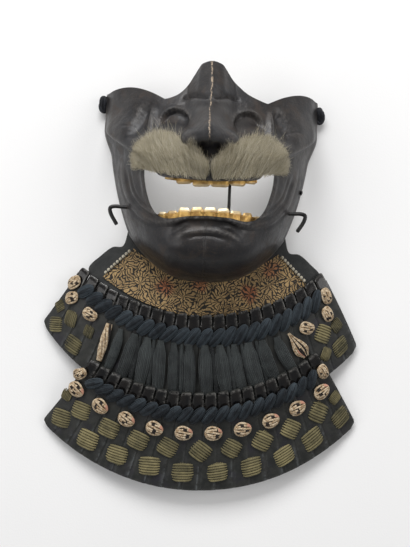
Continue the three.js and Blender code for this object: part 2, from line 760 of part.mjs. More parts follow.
// Half of the moustache: a backing along the lip with tapered locks that fan out from it.
function moustache(side) {
  const onFace = (x, y, above) => new THREE.Vector3(side * x, y, faceHeight(x, y) + above);
  const root = (t) => onFace(lerp(6, 45, t), 72 + 5 * t, 6);
  const backing = tube(
    [0, 0.1, 0.35, 0.6, 0.85, 1].map((t) => {
      const forward = root(Math.min(1, t + 0.05)).sub(root(Math.max(0, t - 0.05))).normalize();
      const size = t === 0 || t === 1 ? 3 : 5.2;
      return ring(root(t), forward, new THREE.Vector3(0, 0, 1), size * 1.15, size * 0.8, 6);
    }),
  );
  const tufts = LOCKS.map(({ x, y }, i) => {
    const base = root(i / (LOCKS.length - 1));
    const along = onFace(x, y, 5).sub(base);
    const turn = new THREE.Quaternion().setFromUnitVectors(new THREE.Vector3(0, 1, 0), along.clone().normalize());
    const middle = base.clone().addScaledVector(along, 0.45);
    return solid(
      new THREE.ConeGeometry(5.6, along.length() * 1.1, 4, 1).applyQuaternion(turn).translate(...middle),
    );
  });
  return join([backing, ...tufts]);
}

// Bent iron hook that the chin cord is caught under, with its root through the cheek.
function hookPoints(side) {
  const z = faceHeight(HOOK.x, HOOK.y);
  const at = (x, y) => new THREE.Vector3(side * x, y, z);
  const corner = HOOK.x + HOOK.reach;
  return [
    at(HOOK.x - 4, HOOK.y),
    at(corner - HOOK.bend, HOOK.y),
    at(corner - HOOK.bend * 0.25, HOOK.y - HOOK.bend * 0.4),
    at(corner - HOOK.bend * 0.3, HOOK.y - HOOK.bend * 1.3),
    at(corner - HOOK.drop * 0.46, HOOK.y - HOOK.drop),
  ];
}

// Thin iron pin that stands across the mouth, behind the lips.
function mouthPin() {
  const { x, top, bottom, z, radius } = PIN;
  return rod([new THREE.Vector3(x, bottom, z), new THREE.Vector3(x, top, z)], radius, 6, 1);
}

// Small rivet on the right cheek.
function cheekStud() {
  const { u, v, radius, rise } = STUD;
  const normal = faceNormal(u, v);
  const centre = facePoint(u, v).addScaledVector(normal, rise / 2 + GAP + 0.2);
  const axes = { length: 2 * radius, width: 2 * radius, thick: rise };
  return pad(centre, axes, normal, new THREE.Vector3(0, 1, 0), 0, [8, 4]);
}

// Knotted end of the tying cord at the edge of an ear lobe.
function earKnot(side) {
  const centre = new THREE.Vector3(EAR_KNOT.x * side, side < 0 ? EAR_KNOT.leftY : EAR_KNOT.rightY, EAR_KNOT.z);
  const up = new THREE.Vector3(0, 0, 1);
  const across = new THREE.Vector3(1, 0, 0);
  const upper = { length: 6.4, width: 6, thick: 7 };
  const lower = { length: 9, width: 6.4, thick: 8 };
  return join([
    solid(pad(centre.clone().add(new THREE.Vector3(1 * side, 3.2, 0.6)), upper, up, across, 20, [6, 4])),
    solid(pad(centre.clone().add(new THREE.Vector3(0.3 * side, -2, 0)), lower, up, across, 75 * side, [6, 4])),
  ]);
}

// ---------------------------------------------------------------- assembly

const object = new THREE.Group();

function add(name, shape, colour) {
  const geometry = shape.isBufferGeometry ? shape : geometryOf(shape);
  const mesh = new THREE.Mesh(geometry, new THREE.MeshStandardMaterial(COLOURS[colour]));
  mesh.name = name;
  object.add(mesh);
  return mesh;
}

const SIDES = [
  { side: -1, name: "left" },
  { side: 1, name: "right" },
];
const [upperLame, lowerLame] = LAMES;
const twoDigits = (n) => String(n).padStart(2, "0");

const clearance = facePlate(GAP);
const aside = (side, offset) => new THREE.Vector3(side * offset, 0, 0);

let plate = facePlate();
for (const { side, name } of SIDES) {
  const points = hookPoints(side);
  const hole = [points[0].clone().add(aside(side, -3)), points[0].clone().add(aside(side, 9))];
  plate = plate.subtract(solid(rod(hole, HOOK.radius + GAP, 8, 1)));
  add(`cord_hook_${name}`, solid(rod(points, HOOK.radius, 8, 7)), "iron");
  add(`ear_cord_${name}`, earKnot(side).subtract(clearance), "braid");
  add(`moustache_${name}`, moustache(side).subtract(clearance), "hair");
  add(`edge_braid_${name}`, edgeBraid(side), "edging");
  for (const lame of LAMES) add(`edge_lacing_${lame.name}_${name}`, edgeLacing(lame, side), "edging");
}
add("face_plate", plate, "iron");
add("mouth_pin", solid(mouthPin()), "iron");
add("cheek_stud", solid(cheekStud()).subtract(clearance), "iron");
add("upper_teeth", teethRow(UPPER_TEETH), "gold");
add("lower_teeth", teethRow(LOWER_TEETH), "gold");
add("throat_leather", leatherSheet(BACKING, LEATHER.backing, 0, 8, 13, [2.6, 2]), "leather");
add(
  "printed_leather",
  leatherSheet(PRINTED, LEATHER.printed, LEATHER.backing + GAP, 5, 13, [2.6, 2]),
  "print",
);
add("lame_upper", lameSolid(upperLame), "lacquer");
add("lame_lower", lameSolid(lowerLame), "lacquer");
add("rope_lacing_upper", ropeRow(upperLame), "braid");
add("rope_lacing_lower", ropeRow(lowerLame), "braid");
CORDS.forEach((cord, i) =>
  add(`suspension_cord_${twoDigits(i + 1)}`, suspensionCord(cord), cord.colour ?? "braid"),
);
for (let i = 0; i < lowerLame.scales / 2; i++)
  add(`lacing_knot_${twoDigits(i + 1)}`, lacingKnot(lowerLame, 2 * i + 1 - lowerLame.scales / 2), "edging");

const box = new THREE.Box3().setFromObject(object);
const middle = box.getCenter(new THREE.Vector3());
object.position.set(-middle.x, -middle.y, -box.min.z);

export default object;
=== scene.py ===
"""Iron half mask with a laced two-lame throat guard, lying face up on pale paper."""
import math

import bpy
import numpy as np
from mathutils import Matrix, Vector


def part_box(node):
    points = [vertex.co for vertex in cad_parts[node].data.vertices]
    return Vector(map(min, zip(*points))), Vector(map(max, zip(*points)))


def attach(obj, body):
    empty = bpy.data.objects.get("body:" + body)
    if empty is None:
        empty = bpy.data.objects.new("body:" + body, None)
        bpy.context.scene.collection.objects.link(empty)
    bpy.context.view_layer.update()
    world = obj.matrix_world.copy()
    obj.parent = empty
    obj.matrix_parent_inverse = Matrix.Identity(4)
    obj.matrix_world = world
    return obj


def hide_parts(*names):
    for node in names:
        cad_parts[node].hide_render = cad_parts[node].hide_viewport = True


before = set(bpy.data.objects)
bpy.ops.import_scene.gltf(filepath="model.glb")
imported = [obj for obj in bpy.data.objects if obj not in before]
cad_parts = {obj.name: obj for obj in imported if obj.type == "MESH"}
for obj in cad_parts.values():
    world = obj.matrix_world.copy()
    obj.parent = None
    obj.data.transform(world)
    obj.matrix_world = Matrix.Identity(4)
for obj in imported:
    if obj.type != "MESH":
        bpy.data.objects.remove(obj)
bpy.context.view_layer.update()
MM = 0.001

# ------------------------------------------------------------------ sizes, in millimetres
# The layout is drawn about the middle of the chin; the pin in the mouth ties it to the frame.
PIN = dict(x=15.2, top=72, bottom=40, z=62, radius=1.15)
low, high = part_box("mouth_pin")
SHIFT = np.array((low + high) / 2) / MM - [PIN["x"], (PIN["top"] + PIN["bottom"]) / 2, PIN["z"]]

MASK = dict(half_width=83, jaw_half_width=59, cheek_step=5.5, cheek_row=0.25, jaw_y=27, chin_rim_y=-6.5,
            nose_top_y=155, notch_x=38, notch_y=126.8, lobe_top_y=138.5, notch_lean=3.2, nose_lean=-0.8, wall=2.2,
            side_rim_z=7, rest_z=0.6)
MIDLINE = [(170, 40), (150, 47), (128, 57), (100, 71), (84, 80), (66, 82), (50, 81), (39, 82), (32, 79), (14, 83),
           (2, 78), (-10, 70)]
NOSE_RISE = [(165, 10), (150, 13), (130, 15), (110, 21), (97, 26), (92, 22), (87, 7), (82, 0)]
NOSE_HALF = [(165, 13), (150, 15), (130, 17), (110, 18), (97, 18), (92, 17), (87, 15), (82, 14)]
MOUTH = [(0, 40.4), (15, 39.6), (29, 38), (35, 40), (40, 45.5), (44.3, 56), (46.8, 70), (46, 77.5), (42, 78.5),
         (39, 74), (37, 69.6), (20, 66.2), (0, 65)]
ARCH_HEIGHT = [(40, 15), (0, 17), (-30, 21), (-60, 21), (-110, 17), (-170, 13)]
ARCH_HALF = [(40, 92), (0, 108), (-30, 122), (-60, 127), (-110, 127), (-170, 127)]
LAMES = dict(
    upper=dict(scales=22, top=(142, -31.3, 93), bottom=(158, -108, 123.6), roll=(0.9, -2.2), slide=(-1.5, -2.8),
               lift=(3.8, 2.2, 0.4), rope_row=0.23),
    lower=dict(scales=20, top=(146, -90, 86), bottom=(173.6, -167.7, 122.7), roll=(4.0, 1.9), slide=(6.4, 0.5),
               lift=(7.8, 3.6, 0.3), rope_row=0.235))
PLATE = 2.2  # thickness of a lame
SHINGLE = 0.7  # step from one scale up to the next
HEAD = 8.5  # height of the head of a scale
SCALES_EACH = 10  # the cords count their ends in tenths of half a lame
SIDES = ((-1, "left"), (1, "right"))
KNOT = (13.4, 10.4, 5)  # length, width and thickness
EDGE_KNOT = (8.4, 4.4)  # width and thickness
EYE_HEIGHT, VIEW_HEIGHT, VIEW_ROLL = 700, 432.13, 2.4


# ------------------------------------------------------------------ surfaces

def smoothstep(x, low, high):
    t = np.clip((np.asarray(x, float) - low) / (high - low), 0, 1)
    return t * t * (3 - 2 * t)


def hill(distance, width):
    return np.exp(-((np.asarray(distance, float) / width) ** 2))


def along(table, at):
    """Smooth value of a table of (place, value) rows, held flat past its ends."""
    rows = np.array(sorted(table), float)
    places, values = rows[:, 0], rows[:, 1]
    slopes = np.diff(values) / np.diff(places)
    tangents = np.concatenate([slopes[:1], (slopes[1:] + slopes[:-1]) / 2, slopes[-1:]])
    at = np.asarray(at, float)
    i = np.clip(np.searchsorted(places, at) - 1, 0, len(places) - 2)
    span = places[i + 1] - places[i]
    t = np.clip((at - places[i]) / span, 0, 1)
    t2, t3 = t * t, t * t * t
    return ((2 * t3 - 3 * t2 + 1) * values[i] + (t3 - 2 * t2 + t) * span * tangents[i]
            + (3 * t2 - 2 * t3) * values[i + 1] + (t3 - t2) * span * tangents[i + 1])


def arch_height(x, y):
    return along(ARCH_HEIGHT, y) * np.maximum(0, 1 - (np.asarray(x) / along(ARCH_HALF, y)) ** 2)


def arc_point(arc, share):
    radius, middle_y, half = arc
    angle = share * math.asin(half / radius)
    return radius * np.sin(angle), middle_y + radius * (1 - np.cos(angle))


def lame_point(lame, share, row, above=0.0):
    """A point of a lame: share from -1 to 1 across it, row from 0 at the heads to 1 at the hem."""
    share, row = np.broadcast_arrays(np.asarray(share, float), np.asarray(row, float))
    tx, ty = arc_point(lame["top"], share)
    bx, by = arc_point(lame["bottom"], share)
    x, y = tx + (bx - tx) * row, ty + (by - ty) * row
    middle = (lame["top"][1] + lame["bottom"][1]) / 2
    turn = np.radians(lame["roll"][0] + (lame["roll"][1] - lame["roll"][0]) * row)
    slide = lame["slide"][0] + (lame["slide"][1] - lame["slide"][0]) * row
    x, y = (x * np.cos(turn) - (y - middle) * np.sin(turn) + slide,
            middle + x * np.sin(turn) + (y - middle) * np.cos(turn))
    a, b, c = lame["lift"]
    lift = np.where(row < 0.25, a + (b - a) * row / 0.25, b + (c - b) * (row - 0.25) / 0.75)
    return np.stack([x, y, arch_height(x, y) + lift + above], -1)


def unit(v):
    return v / np.maximum(np.linalg.norm(v, axis=-1, keepdims=True), 1e-9)


def lame_frame(lame, share, row):
    """Unit vectors across a lame, down it and out of it."""
    across = unit(lame_point(lame, share + 0.01, row) - lame_point(lame, share - 0.01, row))
    down = unit(lame_point(lame, share, row + 0.01) - lame_point(lame, share, row - 0.01))
    return across, down, unit(np.cross(down, across))


def lame_place(lame, x, y):
    """Share and row of the lame's point over a place on the floor."""
    share, row = 0.0, 0.5
    for _ in range(14):
        here = lame_point(lame, share, row)
        share += (x - here[0]) / (lame["bottom"][2] + 4)
        row -= (y - here[1]) / (lame["top"][1] - lame["bottom"][1])
    return share, row


def top_edge(at):
    lean = MASK["nose_lean"] + (MASK["notch_lean"] - MASK["nose_lean"]) * smoothstep(np.abs(at), 8, 34)
    x = at - lean * (1 - smoothstep(np.abs(at), 60, 83))
    across = np.abs(x)
    least = 1 / (1 + (MASK["notch_x"] / 17) ** 3)
    rise = (1 / (1 + (across / 17) ** 3) - least) / (1 - least)
    nose = MASK["notch_y"] + (MASK["nose_top_y"] - MASK["notch_y"]) * rise
    turn = (across - MASK["notch_x"]) / (MASK["half_width"] - MASK["notch_x"]) * 0.72 * math.pi
    lobe = MASK["notch_y"] + (MASK["lobe_top_y"] - MASK["notch_y"]) * np.sin(turn)
    return np.where(across < MASK["notch_x"], nose, lobe)


def side_edge(v):
    below = np.maximum(0, (v - MASK["cheek_row"]) / (1 - MASK["cheek_row"]))
    step = MASK["cheek_step"] * smoothstep(v, MASK["cheek_row"], 0.46)
    return MASK["half_width"] - step - (MASK["half_width"] - MASK["cheek_step"] - MASK["jaw_half_width"]) * below ** 1.9


def rim_height(x, y, v):
    side = MASK["rest_z"] + (MASK["side_rim_z"] - MASK["rest_z"]) * smoothstep(v, 0.12, 0.4)
    seat = arch_height(x, y) + 5.1
    return side + (np.maximum(side, seat) - side) * smoothstep(v, 0.55, 0.86)


def face_point(u, v):
    """Smooth face with the nose: u from -1 to 1 across, v from 0 at the top edge to 1 at the chin rim."""
    u, v = np.broadcast_arrays(np.asarray(u, float), np.asarray(v, float))
    across = np.abs(u)
    x = u * side_edge(v)
    low_y = MASK["chin_rim_y"] + (MASK["jaw_y"] - MASK["chin_rim_y"]) * across ** 2.6
    high_y = top_edge(u * MASK["half_width"])
    y = high_y + (low_y - high_y) * v
    section = np.maximum(0, 1 - across ** 1.9) ** 0.62
    chin = np.maximum(0, 1 - v ** 9) ** 0.6
    rim = rim_height(x, y, v)
    ridge = np.maximum(0, 1.03 - np.sqrt(((x - MASK["nose_lean"]) / along(NOSE_HALF, y)) ** 2 + 0.012))
    nose = np.maximum(0, along(NOSE_RISE, y)) * ridge
    return np.stack([x, y, rim + (along(MIDLINE, y) - rim) * section * chin + nose], -1)


def face_normal(u, v):
    d = 0.003
    across = face_point(np.minimum(1, u + d), v) - face_point(np.maximum(-1, u - d), v)
    down = face_point(u, np.minimum(1, v + d)) - face_point(u, np.maximum(0, v - d))
    return unit(np.cross(down, across))


def face_height(x, y):
    """Height of the smooth face over places on the floor."""
    v = np.full(np.shape(x), 0.5)
    for _ in range(30):
        u = np.clip(x / side_edge(v), -1, 1)
        v = np.clip(v + (face_point(u, v)[..., 1] - y) / (MASK["nose_top_y"] - MASK["chin_rim_y"]), 0, 1)
    return face_point(np.clip(x / side_edge(v), -1, 1), v)[..., 2]


def to_segment(x, y, a, b):
    """Distance from points to a segment."""
    dx, dy = b[0] - a[0], b[1] - a[1]
    t = np.clip(((x - a[0]) * dx + (y - a[1]) * dy) / (dx * dx + dy * dy), 0, 1)
    return np.hypot(x - a[0] - t * dx, y - a[1] - t * dy)


def crease(x, y, a, b, width):
    return hill(to_segment(x, y, a, b), width)


def mouth_distance(x, y):
    return np.minimum.reduce([to_segment(np.abs(x), y, a, b) for a, b in zip(MOUTH[:-1], MOUTH[1:])])


def from_pouch(a, y):
    return np.hypot((a - 26.5) * 0.98, y - 108)


def from_mouth_corner(a, y):
    return np.hypot(a - 30, (y - 76) * 0.85)


def from_chin_fold(x, y):
    return np.hypot(x * 0.8, y + 3)


def relief(x, y):
    """Carved relief on the face: nostril wings, pouches, wrinkles, cheek rolls, lips and chin."""
    a = np.abs(x)
    wing = 6 * hill(np.hypot(a - 14, (y - 94) * 0.9), 6.5)
    hollow = -3.4 * smoothstep(-from_pouch(a, y), -10.6, -8.4) * smoothstep(y, 99, 113)
    ridge = 3 * crease(a, y, (44, 117), (43, 96), 3)
    groove = -3.8 * crease(a, y, (48, 117), (55, 101), 4.8)
    line = y - (88 + (a - 58) * 0.68 + np.maximum(0, a - 58) ** 2 * 0.004)
    roll = 3.6 * smoothstep(line, -1.5, 2.5) * hill(np.maximum(0, line), 24) * smoothstep(a, 40, 56)
    smile = -1.6 * hill(from_mouth_corner(a, y) - 32.5, 1.6) * smoothstep(-y, -78, -66)
    chin = 2.6 * hill(np.hypot(x * 0.8, y - 12), 22)
    arc = from_chin_fold(x, y)
    fold = (1.3 * hill(arc - 33.5, 2.6) - 2.4 * hill(arc - 39, 3)) * (1 - smoothstep(a, 15, 27)) * smoothstep(y, 8, 20)
    return wing + hollow + ridge + groove + roll + smile + chin + fold


def fine_relief(x, y):
    """Creases too small for the solid: brow folds, rims of the pouches, grooves by the mouth, cracks."""
    a = np.abs(x - MASK["nose_lean"])
    brow = np.minimum(to_segment(a, y, (3, 125), (11, 128)), to_segment(a, y, (11, 128), (19, 127.5)))
    frown = -2.0 * hill(brow, 1.4) + 0.9 * crease(a, y, (4, 121.5), (13, 124), 2.6)
    bridge = 0.8 * crease(a, y, (7, 152), (9, 132), 2.2)
    a = np.abs(x)
    rim = 0.9 * hill(from_pouch(a, y) - 11.2, 0.9) * smoothstep(y, 104, 114)
    corner = -0.9 * crease(a, y, (36, 112), (40, 101), 1.4)
    cracks = -0.4 * crease(a, y, (57, 106), (64, 107), 0.7)
    lip = 0.9 * hill(mouth_distance(x, y) - 1.6, 1.6)
    inner = -0.9 * hill(from_mouth_corner(a, y) - 28.6, 0.9) * smoothstep(-y, -76, -68) * smoothstep(y, 36, 46)
    outer = -0.6 * hill(from_mouth_corner(a, y) - 37.5, 1.0) * smoothstep(-y, -84, -70)
    under = -0.8 * hill(from_chin_fold(x, y) - 29.4, 1.1) * (1 - smoothstep(a, 8, 17)) * smoothstep(y, 8, 20)
    pits = -2.4 * hill(np.hypot((a - 6.5) * 0.8, (y - 87.5) * 0.8), 2.2)
    dents = 0.35 * np.sin(x * 0.21 + 1.3 * np.sin(y * 0.11)) * np.sin(y * 0.17 + 0.8 * np.sin(x * 0.13))
    return frown + bridge + rim + corner + cracks + lip + inner + outer + under + pits + dents


# ------------------------------------------------------------------ meshes

def new_mesh(name, points, faces, smooth=40):
    mesh = bpy.data.meshes.new(name)
    mesh.from_pydata((np.asarray(points, float).reshape(-1, 3) + SHIFT) * MM, [], [tuple(map(int, f)) for f in faces])
    mesh.validate()
    if smooth:
        mesh.shade_smooth()
        mesh.set_sharp_from_angle(angle=math.radians(smooth))
    return mesh


def add_object(name, data):
    made = bpy.data.objects.new(name, data)
    bpy.context.scene.collection.objects.link(made)
    return made


def new_piece(name, mesh, *materials):
    mesh.materials.clear()
    for material in materials:
        mesh.materials.append(material)
    return add_object(name, mesh)


def evaluated_mesh(piece):
    """The piece's mesh with its modifiers applied."""
    bpy.context.view_layer.update()
    return bpy.data.meshes.new_from_object(piece.evaluated_get(bpy.context.evaluated_depsgraph_get()))


def set_attribute(mesh, name, values):
    attribute = mesh.attributes.new(name, "FLOAT", "POINT")
    attribute.data.foreach_set("value", np.asarray(values, np.float32).ravel())


def set_front(mesh, name, values):
    """An attribute on the front of a shell, with zero on its back."""
    set_attribute(mesh, name, np.concatenate([np.ravel(values), np.zeros(np.size(values))]))


def shell_mesh(name, front, back, smooth=40):
    """Closed shell between a front and a back grid of points."""
    rows, columns = front.shape[:2]
    f, k = np.arange(2 * rows * columns).reshape(2, rows, columns)
    quads = [(f[:-1, :-1], f[1:, :-1], f[1:, 1:], f[:-1, 1:]), (k[:-1, :-1], k[:-1, 1:], k[1:, 1:], k[1:, :-1]),
             (f[0, :-1], f[0, 1:], k[0, 1:], k[0, :-1]), (f[-1, 1:], f[-1, :-1], k[-1, :-1], k[-1, 1:]),
             (f[1:, 0], f[:-1, 0], k[:-1, 0], k[1:, 0]), (f[:-1, -1], f[1:, -1], k[1:, -1], k[:-1, -1])]
    faces = np.concatenate([np.stack([corner.ravel() for corner in quad], -1) for quad in quads])
    return new_mesh(name, np.concatenate([front.reshape(-1, 3), back.reshape(-1, 3)]), faces, smooth)


def rod(name, path, radius, sides=14):
    """Closed round rod along a path, of one radius or of one for each point."""
    path = np.asarray(path, float)
    forward = unit(np.gradient(path, axis=0))
    up = np.array([0.0, 0.0, 1.0])
    z = unit(up - forward * (up * forward).sum(-1, keepdims=True))
    x = np.cross(z, forward)
    angle = 2 * math.pi * (np.arange(sides) + 0.5) / sides
    radius = np.broadcast_to(radius, len(path))[:, None, None]
    rings = (path[:, None] + x[:, None] * radius * np.cos(angle)[None, :, None]
             + z[:, None] * radius * np.sin(angle)[None, :, None])
    at = np.arange(len(path) * sides).reshape(len(path), sides)
    after = np.roll(at, -1, 1)
    body = np.stack([at[:-1].ravel(), after[:-1].ravel(), after[1:].ravel(), at[1:].ravel()], -1)
    return new_mesh(name, rings, [*body, at[0][::-1], at[-1]], 60)


def curve_through(points, count):
    """Evenly spaced points on a smooth curve through a few points."""
    points = np.asarray(points, float)
    place = np.concatenate([[0], np.cumsum(np.linalg.norm(np.diff(points, axis=0), axis=1))])
    at = np.linspace(0, place[-1], count)
    return np.stack([along(list(zip(place, points[:, k])), at) for k in range(3)], -1)


# ------------------------------------------------------------------ node trees

def group(name, inputs, outputs, kind="ShaderNodeTree"):
    """Node group with labelled sockets: (label, kind) or (label, kind, value)."""
    tree = bpy.data.node_groups.new(name, kind)
    for way, sockets in (("INPUT", inputs), ("OUTPUT", outputs)):
        for label, of_kind, *value in sockets:
            socket = tree.interface.new_socket(label, in_out=way, socket_type="NodeSocket" + of_kind)
            if value:
                socket.default_value = value[0]
    return tree


class Nodes:
    """Short way to build a node tree: nodes(kind, socket=value or link, ...)."""

    def __init__(self, tree):
        self.tree, self.shader, self.spot = tree, None, None

    def __call__(self, kind, **settings):
        node = self.tree.nodes.new(kind)
        for key, value in settings.items():
            if hasattr(node, key) and key not in node.inputs:
                setattr(node, key, value)
                continue
            socket = node.inputs[int(key[1:])] if key[0] == "_" else node.inputs[key.replace("_", " ")]
            self.feed(socket, value)
        return node

    def feed(self, socket, value):
        if isinstance(value, bpy.types.NodeSocket):
            self.tree.links.new(value, socket)
        else:
            socket.default_value = value

    def place(self):
        """Object coordinates."""
        if self.spot is None:
            self.spot = self("ShaderNodeTexCoord").outputs["Object"]
        return self.spot

    def attribute(self, name):
        return self("ShaderNodeAttribute", attribute_name=name).outputs["Fac"]

    def math(self, operation, a, b=0.0):
        return self("ShaderNodeMath", operation=operation, _0=a, _1=b).outputs[0]

    def plus(self, a, b):
        return self.math("ADD", a, b)

    def minus(self, a, b):
        return self.math("SUBTRACT", a, b)

    def times(self, a, b):
        return self.math("MULTIPLY", a, b)

    def ramp(self, value, low, high, to_low=0.0, to_high=1.0):
        node = self("ShaderNodeMapRange", _0=value, _1=low, _2=high, _3=to_low, _4=to_high)
        node.interpolation_type = "SMOOTHSTEP"
        return node.outputs[0]

    def mix(self, share, a, b):
        node = self.tree.nodes.new("ShaderNodeMix")
        node.data_type = "RGBA"
        for socket, value in ((node.inputs[0], share), (node.inputs[6], a), (node.inputs[7], b)):
            self.feed(socket, value if isinstance(value, (bpy.types.NodeSocket, float)) else (*value, 1)[:4])
        return node.outputs[2]

    def over(self, colour, tint, share, amount):
        """A colour with a tint laid over it."""
        return self.mix(self.times(share, amount), colour, tint)

    def noise(self, scale, detail=4.0, rough=0.55, distort=0.0):
        return self("ShaderNodeTexNoise", Vector=self.place(), Scale=scale, Detail=detail, Roughness=rough,
                    Distortion=distort).outputs["Fac"]

    def cloud(self, low, high, *noise, to=(0.0, 1.0)):
        """Noise in patches: one value under low, the other over high."""
        return self.ramp(self.noise(*noise), low, high, *to)

    def mottle(self, patch_scale, speck_scale, speck_share):
        """Slow patches and fine specks."""
        node = self("ShaderNodeGroup", node_tree=MOTTLE, Patch_Scale=patch_scale, Speck_Scale=speck_scale,
                    Speck_Share=speck_share)
        return node.outputs["Patches"], node.outputs["Specks"]

    def colour(self, value):
        self.feed(self.shader.inputs["Base Color"], value)

    def rough(self, value):
        self.feed(self.shader.inputs["Roughness"], value)

    def bump(self, height, depth, under=None):
        node = self("ShaderNodeBump", Height=height, Distance=depth, Strength=1.0)
        if under is not None:
            self.feed(node.inputs["Normal"], under)
        self.feed(self.shader.inputs["Normal"], node.outputs["Normal"])
        return node.outputs["Normal"]


# ------------------------------------------------------------------ strands

def strand_tree():
    """Geometry Nodes: gives every polyline of a mesh a round section scaled by its `girth` attribute."""
    inputs = [("Geometry", "Geometry"), ("Thickness", "Float"), ("Sides", "Int"), ("Material", "Material")]
    tree = group("strands", inputs, [("Geometry", "Geometry")], "GeometryNodeTree")
    n = Nodes(tree)
    start = n("NodeGroupInput").outputs
    girth = n("GeometryNodeInputNamedAttribute", data_type="FLOAT", Name="girth").outputs["Attribute"]
    curve = n("GeometryNodeMeshToCurve", Mesh=start["Geometry"]).outputs["Curve"]
    curve = n("GeometryNodeSetCurveRadius", Curve=curve, Radius=girth).outputs["Curve"]
    circle = n("GeometryNodeCurvePrimitiveCircle", Resolution=start["Sides"], Radius=start["Thickness"])
    sweep = n("GeometryNodeCurveToMesh", Curve=curve, Profile_Curve=circle.outputs["Curve"], Fill_Caps=True)
    if "Scale" in sweep.inputs:
        n.feed(sweep.inputs["Scale"], girth)
    smooth = n("GeometryNodeSetShadeSmooth", Geometry=sweep.outputs["Mesh"]).outputs["Geometry"]
    paint = n("GeometryNodeSetMaterial", Geometry=smooth, Material=start["Material"]).outputs["Geometry"]
    n("NodeGroupOutput", Geometry=paint)
    return tree


STRANDS = strand_tree()


def strands(name, lines, thickness, sides, material):
    """One piece from many strands. Each line is (points, girth, tint): girth and tint run along the points."""
    points, edges, girth, tint = [], [], [], []
    for line, width, shade in lines:
        start = len(points)
        points.extend(line)
        edges.extend((start + i, start + i + 1) for i in range(len(line) - 1))
        girth.extend(np.broadcast_to(width, len(line)))
        tint.extend(np.broadcast_to(shade, len(line)))
    mesh = bpy.data.meshes.new(name + "_lines")
    mesh.from_pydata((np.array(points) + SHIFT) * MM, edges, [])
    set_attribute(mesh, "girth", girth)
    set_attribute(mesh, "tint", tint)
    carrier = add_object(name + "_lines", mesh)
    modifier = carrier.modifiers.new("strands", "NODES")
    modifier.node_group = STRANDS
    values = dict(Thickness=thickness * MM, Sides=sides, Material=material)
    for item in STRANDS.interface.items_tree:
        if item.in_out == "INPUT" and item.name in values:
            modifier[item.identifier] = values[item.name]
    made = evaluated_mesh(carrier)
    made.name = name
    bpy.data.objects.remove(carrier)
    bpy.data.meshes.remove(mesh)
    return new_piece(name, made, material)


def join(name, *pieces):
    """Several pieces as one object, with their materials kept."""
    if len(pieces) > 1:
        with bpy.context.temp_override(active_object=pieces[0], selected_editable_objects=list(pieces)):
            bpy.ops.object.join()
    pieces[0].name = name
    return pieces[0]


# ------------------------------------------------------------------ materials

def mottle_group():
    """Slow patches and fine specks over a surface."""
    tree = group("mottle", [("Patch Scale", "Float", 40.0), ("Speck Scale", "Float", 900.0),
                            ("Speck Share", "Float", 0.35)], [("Patches", "Float"), ("Specks", "Float")])
    n = Nodes(tree)
    start = n("NodeGroupInput").outputs
    patches = n.cloud(0.36, 0.64, start["Patch Scale"], 5.0, 0.6, 0.4)
    edge = n.minus(0.78, n.times(start["Speck Share"], 0.4))
    specks = n.ramp(n.noise(start["Speck Scale"], 3.0, 0.7), edge, n.plus(edge, 0.06))
    n("NodeGroupOutput", Patches=patches, Specks=specks)
    return tree


MOTTLE = mottle_group()


def material(name, rough=0.5, metal=0.0, coat=0.0, coat_rough=0.2, sheen=0.0, specular=0.5):
    """A new material, and the nodes to build it with."""
    made = bpy.data.materials.new(name)
    made.use_nodes = True
    made.node_tree.nodes.clear()
    n = Nodes(made.node_tree)
    n.shader = n("ShaderNodeBsdfPrincipled")
    n("ShaderNodeOutputMaterial", Surface=n.shader.outputs[0])
    for label, value in (("Roughness", rough), ("Metallic", metal), ("Coat Weight", coat),
                         ("Coat Roughness", coat_rough), ("Sheen Weight", sheen), ("Sheen Roughness", 0.4),
                         ("Specular IOR Level", specular)):
        n.shader.inputs[label].default_value = value
    return made, n


def iron_finish():
    made, n = material("russet_black_iron", rough=0.42, metal=0.2, coat=0.1, coat_rough=0.3, specular=0.42)
    patches, specks = n.mottle(38.0, 1300.0, 0.45)
    colour = n.mix(patches, (0.0105, 0.0105, 0.0125), (0.022, 0.019, 0.018))
    stain = n.cloud(0.52, 0.68, 75.0, 5.0, 0.65, 0.6)
    colour = n.over(colour, (0.040, 0.028, 0.021), stain, 0.6)
    colour = n.over(colour, (0.11, 0.075, 0.05), specks, 0.42)
    scuff = n.cloud(0.6, 0.74, 210.0, 5.0, 0.75, 0.3)
    colour = n.over(colour, (0.10, 0.095, 0.09), scuff, 0.35)
    # Pale on the worn attribute: rubbed wear broken by noise, and painted highlight on ridges and edges.
    broken = n.cloud(0.4, 0.62, 420.0, 4.0, 0.7)
    colour = n.over(colour, (0.14, 0.13, 0.12), n.attribute("worn"), n.plus(n.times(broken, 0.6), 0.1))
    where = n("ShaderNodeSeparateXYZ", Vector=n.place())
    middle = (SHIFT[0] + MASK["nose_lean"] - 0.3) * MM
    wobble = n.times(n.minus(n.noise(55.0, 3.0, 0.7), 0.5), 0.0045)
    off = n.math("ABSOLUTE", n.plus(n.minus(where.outputs["X"], middle), wobble))
    upper = n.ramp(where.outputs["Y"], (91 + SHIFT[1]) * MM, (95 + SHIFT[1]) * MM)
    width = n.cloud(0.35, 0.65, 240.0, 3.0, 0.8, to=(0.00025, 0.0008))
    seam = n.times(upper, n.math("LESS_THAN", off, width))
    flakes = n.cloud(0.42, 0.56, 640.0, 3.0, 0.8)
    n.colour(n.over(colour, (0.36, 0.28, 0.20), seam, flakes))
    rough = n.cloud(0.3, 0.7, 90.0, 5.0, 0.65, to=(0.34, 0.5))
    n.rough(n.plus(rough, n.times(stain, 0.12)))
    fine = n.bump(n.noise(1500.0, 4.0, 0.6), 0.00008)
    coarse = n.bump(n.noise(160.0, 4.0, 0.55), 0.0006, fine)
    n.bump(n.ramp(off, 0.0, 0.0012, 1.0, 0.0), 0.0004, coarse)
    return made


